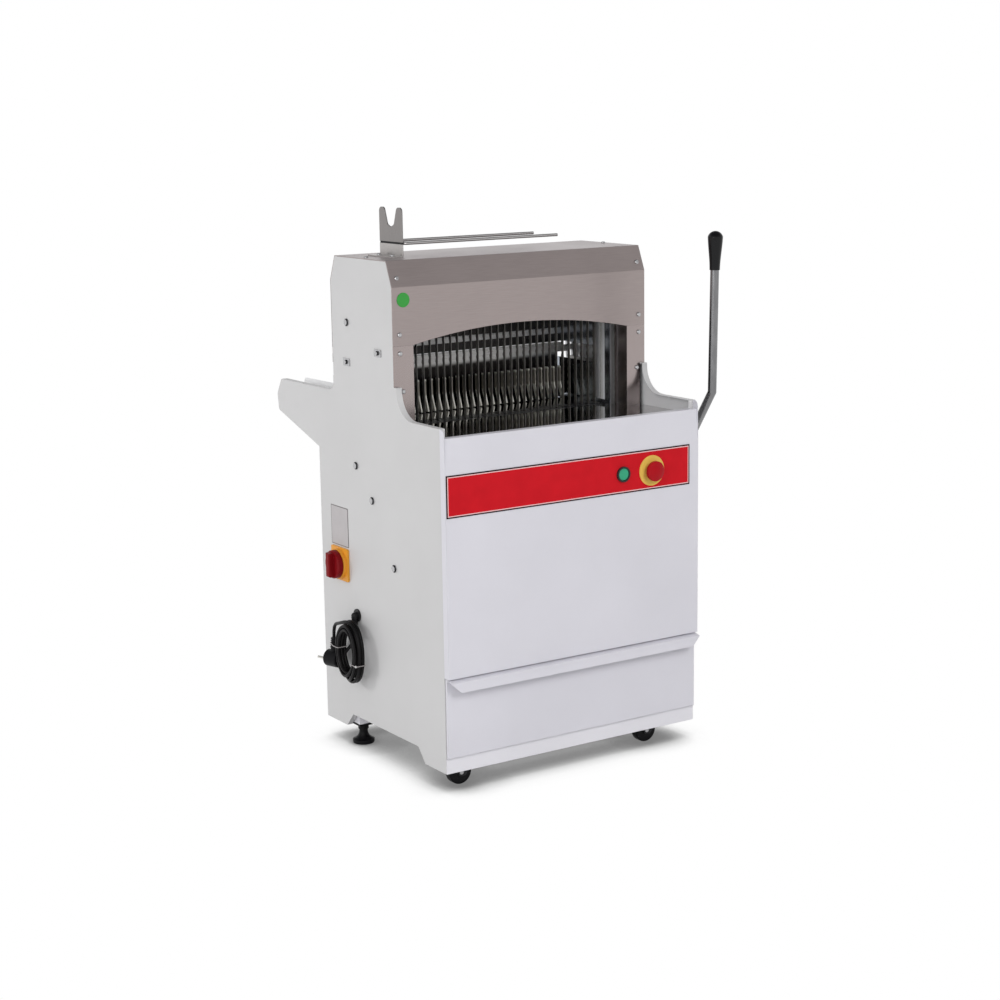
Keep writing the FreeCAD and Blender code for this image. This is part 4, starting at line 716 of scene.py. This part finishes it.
# ------------------------------------------------------------------------ mains lead
cord_diameter = 0.007
gland_x, gland_y = -0.3075, 0.330
coil_centre = at(-0.327, 0.3225, 0.216)
turn_sizes = ((0.0316, 0.0456), (0.0389, 0.0540), (0.0462, 0.0622))  # half depth, half height
layer_places = (0.007, -0.007, 0.0)
points_per_turn = 16
change_share = 0.20             # part of a turn, at the bottom, in which it changes place
first_angle = -0.42
last_angle = 1.33
wave_size = 0.0005              # how far the turns stray from their ovals
wave_phases = (3.1, 1.7)        # of that stray, for each radian and for each turn
droop_share = 0.28              # of a turn's extra height, by which it hangs lower
plug_turn = math.radians(18.0)
plug_way = Vector((-math.sin(plug_turn), math.cos(plug_turn), 0))
boot_top = at(-0.32388, 0.39019, 0.231)


def lead_route():
    """From the gland down into the hank."""
    return [at(gland_x, gland_y, 0.264), at(gland_x, gland_y, 0.243),
            at(-0.3110, 0.340, 0.223), at(-0.3200, 0.353, 0.207)]


def tail_route():
    """From the hank over into the plug's boot."""
    return [at(-0.3268, 0.352, 0.2700), at(-0.3255, 0.3665, 0.2655),
            at(-0.3248, 0.3810, 0.2610), Vector((boot_top.x, boot_top.y, 0.247)), boot_top]


def coil_slots():
    """Size and layer of each turn in the hank; the outer layer has one turn fewer."""
    near, far, middle = layer_places
    slots = [(*size, near) for size in turn_sizes]
    slots += [(*size, far) for size in turn_sizes[1::-1]]
    slots += [(*size, middle) for size in turn_sizes]
    return slots


def coil_route():
    """Turns of the tied hank, each a little off the next."""
    slots = coil_slots()
    points = []
    sweep = first_angle - last_angle + 2 * math.pi * len(slots)
    steps = round(sweep / (2 * math.pi) * points_per_turn)
    for index in range(steps + 1):
        angle = first_angle - sweep * index / steps
        past_bottom = (-math.pi / 2 - angle) / (2 * math.pi) + change_share / 2
        number = max(0, math.floor(past_bottom))
        share = min(1.0, max(0.0, (past_bottom - number) / change_share))
        share = share * share * (3 - 2 * share)
        behind = slots[max(0, number - 1)]
        half_y, half_z, layer = (a + (b - a) * share for a, b in zip(behind, slots[number]))
        wave = wave_size * math.sin(wave_phases[0] * angle + wave_phases[1] * number)
        droop = droop_share * max(0.0, -math.sin(angle)) ** 2 * (half_z - turn_sizes[0][1])
        points.append(coil_centre + Vector((layer + wave, (half_y + wave) * math.cos(angle),
                                            (half_z + wave + droop) * math.sin(angle))))
    return points


def make_cord():
    """The whole lead in one curve, in place of its three CAD solids."""
    curve = bpy.data.curves.new("mains_cord", "CURVE")
    curve.dimensions = "3D"
    curve.bevel_depth = cord_diameter / 2
    curve.bevel_resolution = 5
    curve.resolution_u = 6
    spline = curve.splines.new("NURBS")
    route = lead_route() + coil_route() + tail_route()
    spline.points.add(len(route) - 1)
    for point, place in zip(spline.points, route):
        point.co = (*place, 1.0)
    spline.order_u = 3
    spline.use_endpoint_u = True
    curve.materials.append(plastic("cord_black", (0.004, 0.0035, 0.004), 0.34, 0.08, 0.0, 0.14))
    cord = bpy.data.objects.new("mains_cord", curve)
    bpy.context.scene.collection.objects.link(cord)
    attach(cord, "machine")
    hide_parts("cord_lead", "cord_coil", "cord_tail")


# ---------------------------------------------------------------------- small pieces
tie_wire = 0.0009               # radius of the ties' thread
back_tie_z = 0.2195
front_tie_z = 0.196
boot_radius = 0.0068            # at the back tie
clasp_low = Vector((0.0016, 0.0022, 0.0020))  # the clasp's reach each way from the tie's corner
clasp_high = Vector((0.0012, 0.0022, 0.0020))
clasp_pull = 0.6                # weight of y against x in the choice of that corner
rib_wire = 0.0011
rib_sets = (                    # name, axis, first height, step, count, base height, radius, taper
    ("boot_ribs", boot_top, 0.2105, 0.0046, 5, 0.207, 0.0080, 0.095),
    ("gland_ribs", at(gland_x, gland_y, 0), 0.282, -0.0046, 4, 0.286, 0.0066, 0.09),
)
plate_low = at(-0.3006, 0.359, 0.4195)
plate_high = at(-0.3000, 0.429, 0.5005)
plate_outline = 0.0016
spot_centre = at(-0.2755, 0.1617, 0.934)
spot_radii = (0.014, 0.0138)    # against the fascia, and in front
spot_depth = 0.0006


def add_piece(name, verts, faces, material, slot, smooth=True):
    """New mesh object that rides on the machine."""
    mesh = bpy.data.meshes.new(name)
    mesh.from_pydata([tuple(vert) for vert in verts], [], faces)
    mesh.update()
    for polygon in mesh.polygons:
        polygon.use_smooth = smooth
    mesh.materials.append(material)
    piece = bpy.data.objects.new(name, mesh)
    bpy.context.scene.collection.objects.link(piece)
    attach(piece, "machine")


def box(name, low, high, bevel, material, slot):
    """Block with softened edges."""
    bm = bmesh.new()
    bmesh.ops.create_cube(bm, size=1.0)
    size = high - low
    bmesh.ops.scale(bm, vec=size, verts=bm.verts)
    bmesh.ops.translate(bm, vec=low + size / 2, verts=bm.verts)
    bmesh.ops.bevel(bm, geom=bm.edges[:], offset=bevel, segments=2, affect="EDGES")
    verts = [vert.co.copy() for vert in bm.verts]
    faces = [[vert.index for vert in face.verts] for face in bm.faces]
    bm.free()
    add_piece(name, verts, faces, material, slot, False)


def closed_tube(path, radius, sides=10):
    """Vertices and faces of a round tube along a closed level path."""
    verts = []
    count = len(path)
    for index, point in enumerate(path):
        along = (path[(index + 1) % count] - path[index - 1]).normalized()
        across = along.cross(Vector((0, 0, 1)))
        for step in range(sides):
            angle = 2 * math.pi * step / sides
            verts.append(point + across * (radius * math.cos(angle))
                         + Vector((0, 0, radius * math.sin(angle))))
    faces = []
    for index in range(count):
        ahead = (index + 1) % count
        for step in range(sides):
            side = (step + 1) % sides
            faces.append((index * sides + step, index * sides + side,
                          ahead * sides + side, ahead * sides + step))
    return verts, faces


def circle_points(centre, radius, count=24):
    """Points of a level circle."""
    return [centre + Vector((radius * math.cos(2 * math.pi * i / count),
                             radius * math.sin(2 * math.pi * i / count), 0))
            for i in range(count)]


def wrapped(points):
    """Level outline drawn tight round the points, in order."""
    points = sorted(points, key=lambda p: (p.x, p.y))

    def half(ordered):
        line = []
        for point in ordered:
            while len(line) > 1:
                first = line[-1] - line[-2]
                second = point - line[-1]
                if first.x * second.y - first.y * second.x > 0:
                    break
                line.pop()
            line.append(point)
        return line[:-1]

    return half(points) + half(points[::-1])


def strand_places(height, side):
    """Where the hank's strands cross a level plane, on its back (1) or front (-1)."""
    places = []
    for half_y, half_z in turn_sizes:
        rise = (height - coil_centre.z) / half_z
        reach = side * half_y * math.sqrt(1 - rise ** 2)
        places += [Vector((coil_centre.x + layer, coil_centre.y + reach, height))
                   for layer in layer_places]
    return places


def make_ties():
    """Two thin ties: one holds the plug's boot to the hank, one closes it in front."""
    thread = plastic("tie_grey", (0.42, 0.39, 0.39), 0.5, 0.2, 0.0)
    around = cord_diameter / 2 + tie_wire
    back = []
    for place in strand_places(back_tie_z, 1):
        back += circle_points(place, around)
    boot = Vector((boot_top.x, boot_top.y, back_tie_z))
    back += circle_points(boot, boot_radius + tie_wire)
    add_piece("tie_back", *closed_tube(wrapped(back), tie_wire), thread, "guide_plastic")
    front = []
    for place in strand_places(front_tie_z, -1):
        front += circle_points(place, around)
    outline = wrapped(front)
    add_piece("tie_front", *closed_tube(outline, tie_wire), thread, "guide_plastic")
    corner = min(outline, key=lambda p: p.x + p.y * clasp_pull)
    box("tie_clasp", corner - clasp_low, corner + clasp_high, 0.0006,
        plastic("clasp_white", (0.80, 0.79, 0.78), 0.4), "guide_plastic")


def stacked_rings(name, centres, radii, material):
    """One piece of level rings."""
    verts = []
    faces = []
    for centre, radius in zip(centres, radii):
        ring_verts, ring_faces = closed_tube(circle_points(centre, radius, 32), rib_wire)
        faces += [tuple(index + len(verts) for index in face) for face in ring_faces]
        verts += ring_verts
    add_piece(name, verts, faces, material, "black_plastic")


def make_ribs():
    """Ribs of the two strain reliefs: the plug's taper upwards, the gland's downwards."""
    rubber = plastic("rib_black", (0.010, 0.010, 0.011), 0.34, gloss=0.2)
    for name, axis, first_z, step, count, base_z, base_radius, taper in rib_sets:
        heights = [first_z + step * i for i in range(count)]
        stacked_rings(name, [Vector((axis.x, axis.y, z)) for z in heights],
                      [base_radius - taper * abs(z - base_z) for z in heights], rubber)


def make_plates():
    """Bare rating plate over the switch, and the plain green spot on the fascia."""
    foil = plastic("rating_foil", (0.50, 0.475, 0.48), 0.35, 0.05)
    tree, shader, place = parts_of(foil)
    inward = edge_distance(tree, place, (("Y", plate_low.y, plate_high.y),
                                         ("Z", plate_low.z, plate_high.z)))
    paint(tree, shader, maths(tree, "LESS_THAN", inward, plate_outline), (0.16, 0.14, 0.14))
    box("rating_plate", plate_low, plate_high, 0.0002, foil, "panel_paint")
    green = plastic("spot_green", (0.045, 0.32, 0.055), 0.4, 0.05)
    bm = bmesh.new()
    bmesh.ops.create_cone(bm, cap_ends=True, segments=64, radius1=spot_radii[0],
                          radius2=spot_radii[1], depth=spot_depth)
    verts = [spot_centre + Vector((vert.co.x, vert.co.z - spot_depth / 2, vert.co.y))
             for vert in bm.verts]
    faces = [[vert.index for vert in face.verts][::-1] for face in bm.faces]
    bm.free()
    add_piece("green_spot", verts, faces, green, "button_green", False)


# -------------------------------------------------------------------------- run
make_camera()
make_cord()
make_world()
make_floor()
for lamp in lamps:
    make_lamp(*lamp)
dress_machine()
make_ties()
make_ribs()
make_plates()
bpy.context.scene.view_settings.view_transform = "Standard"
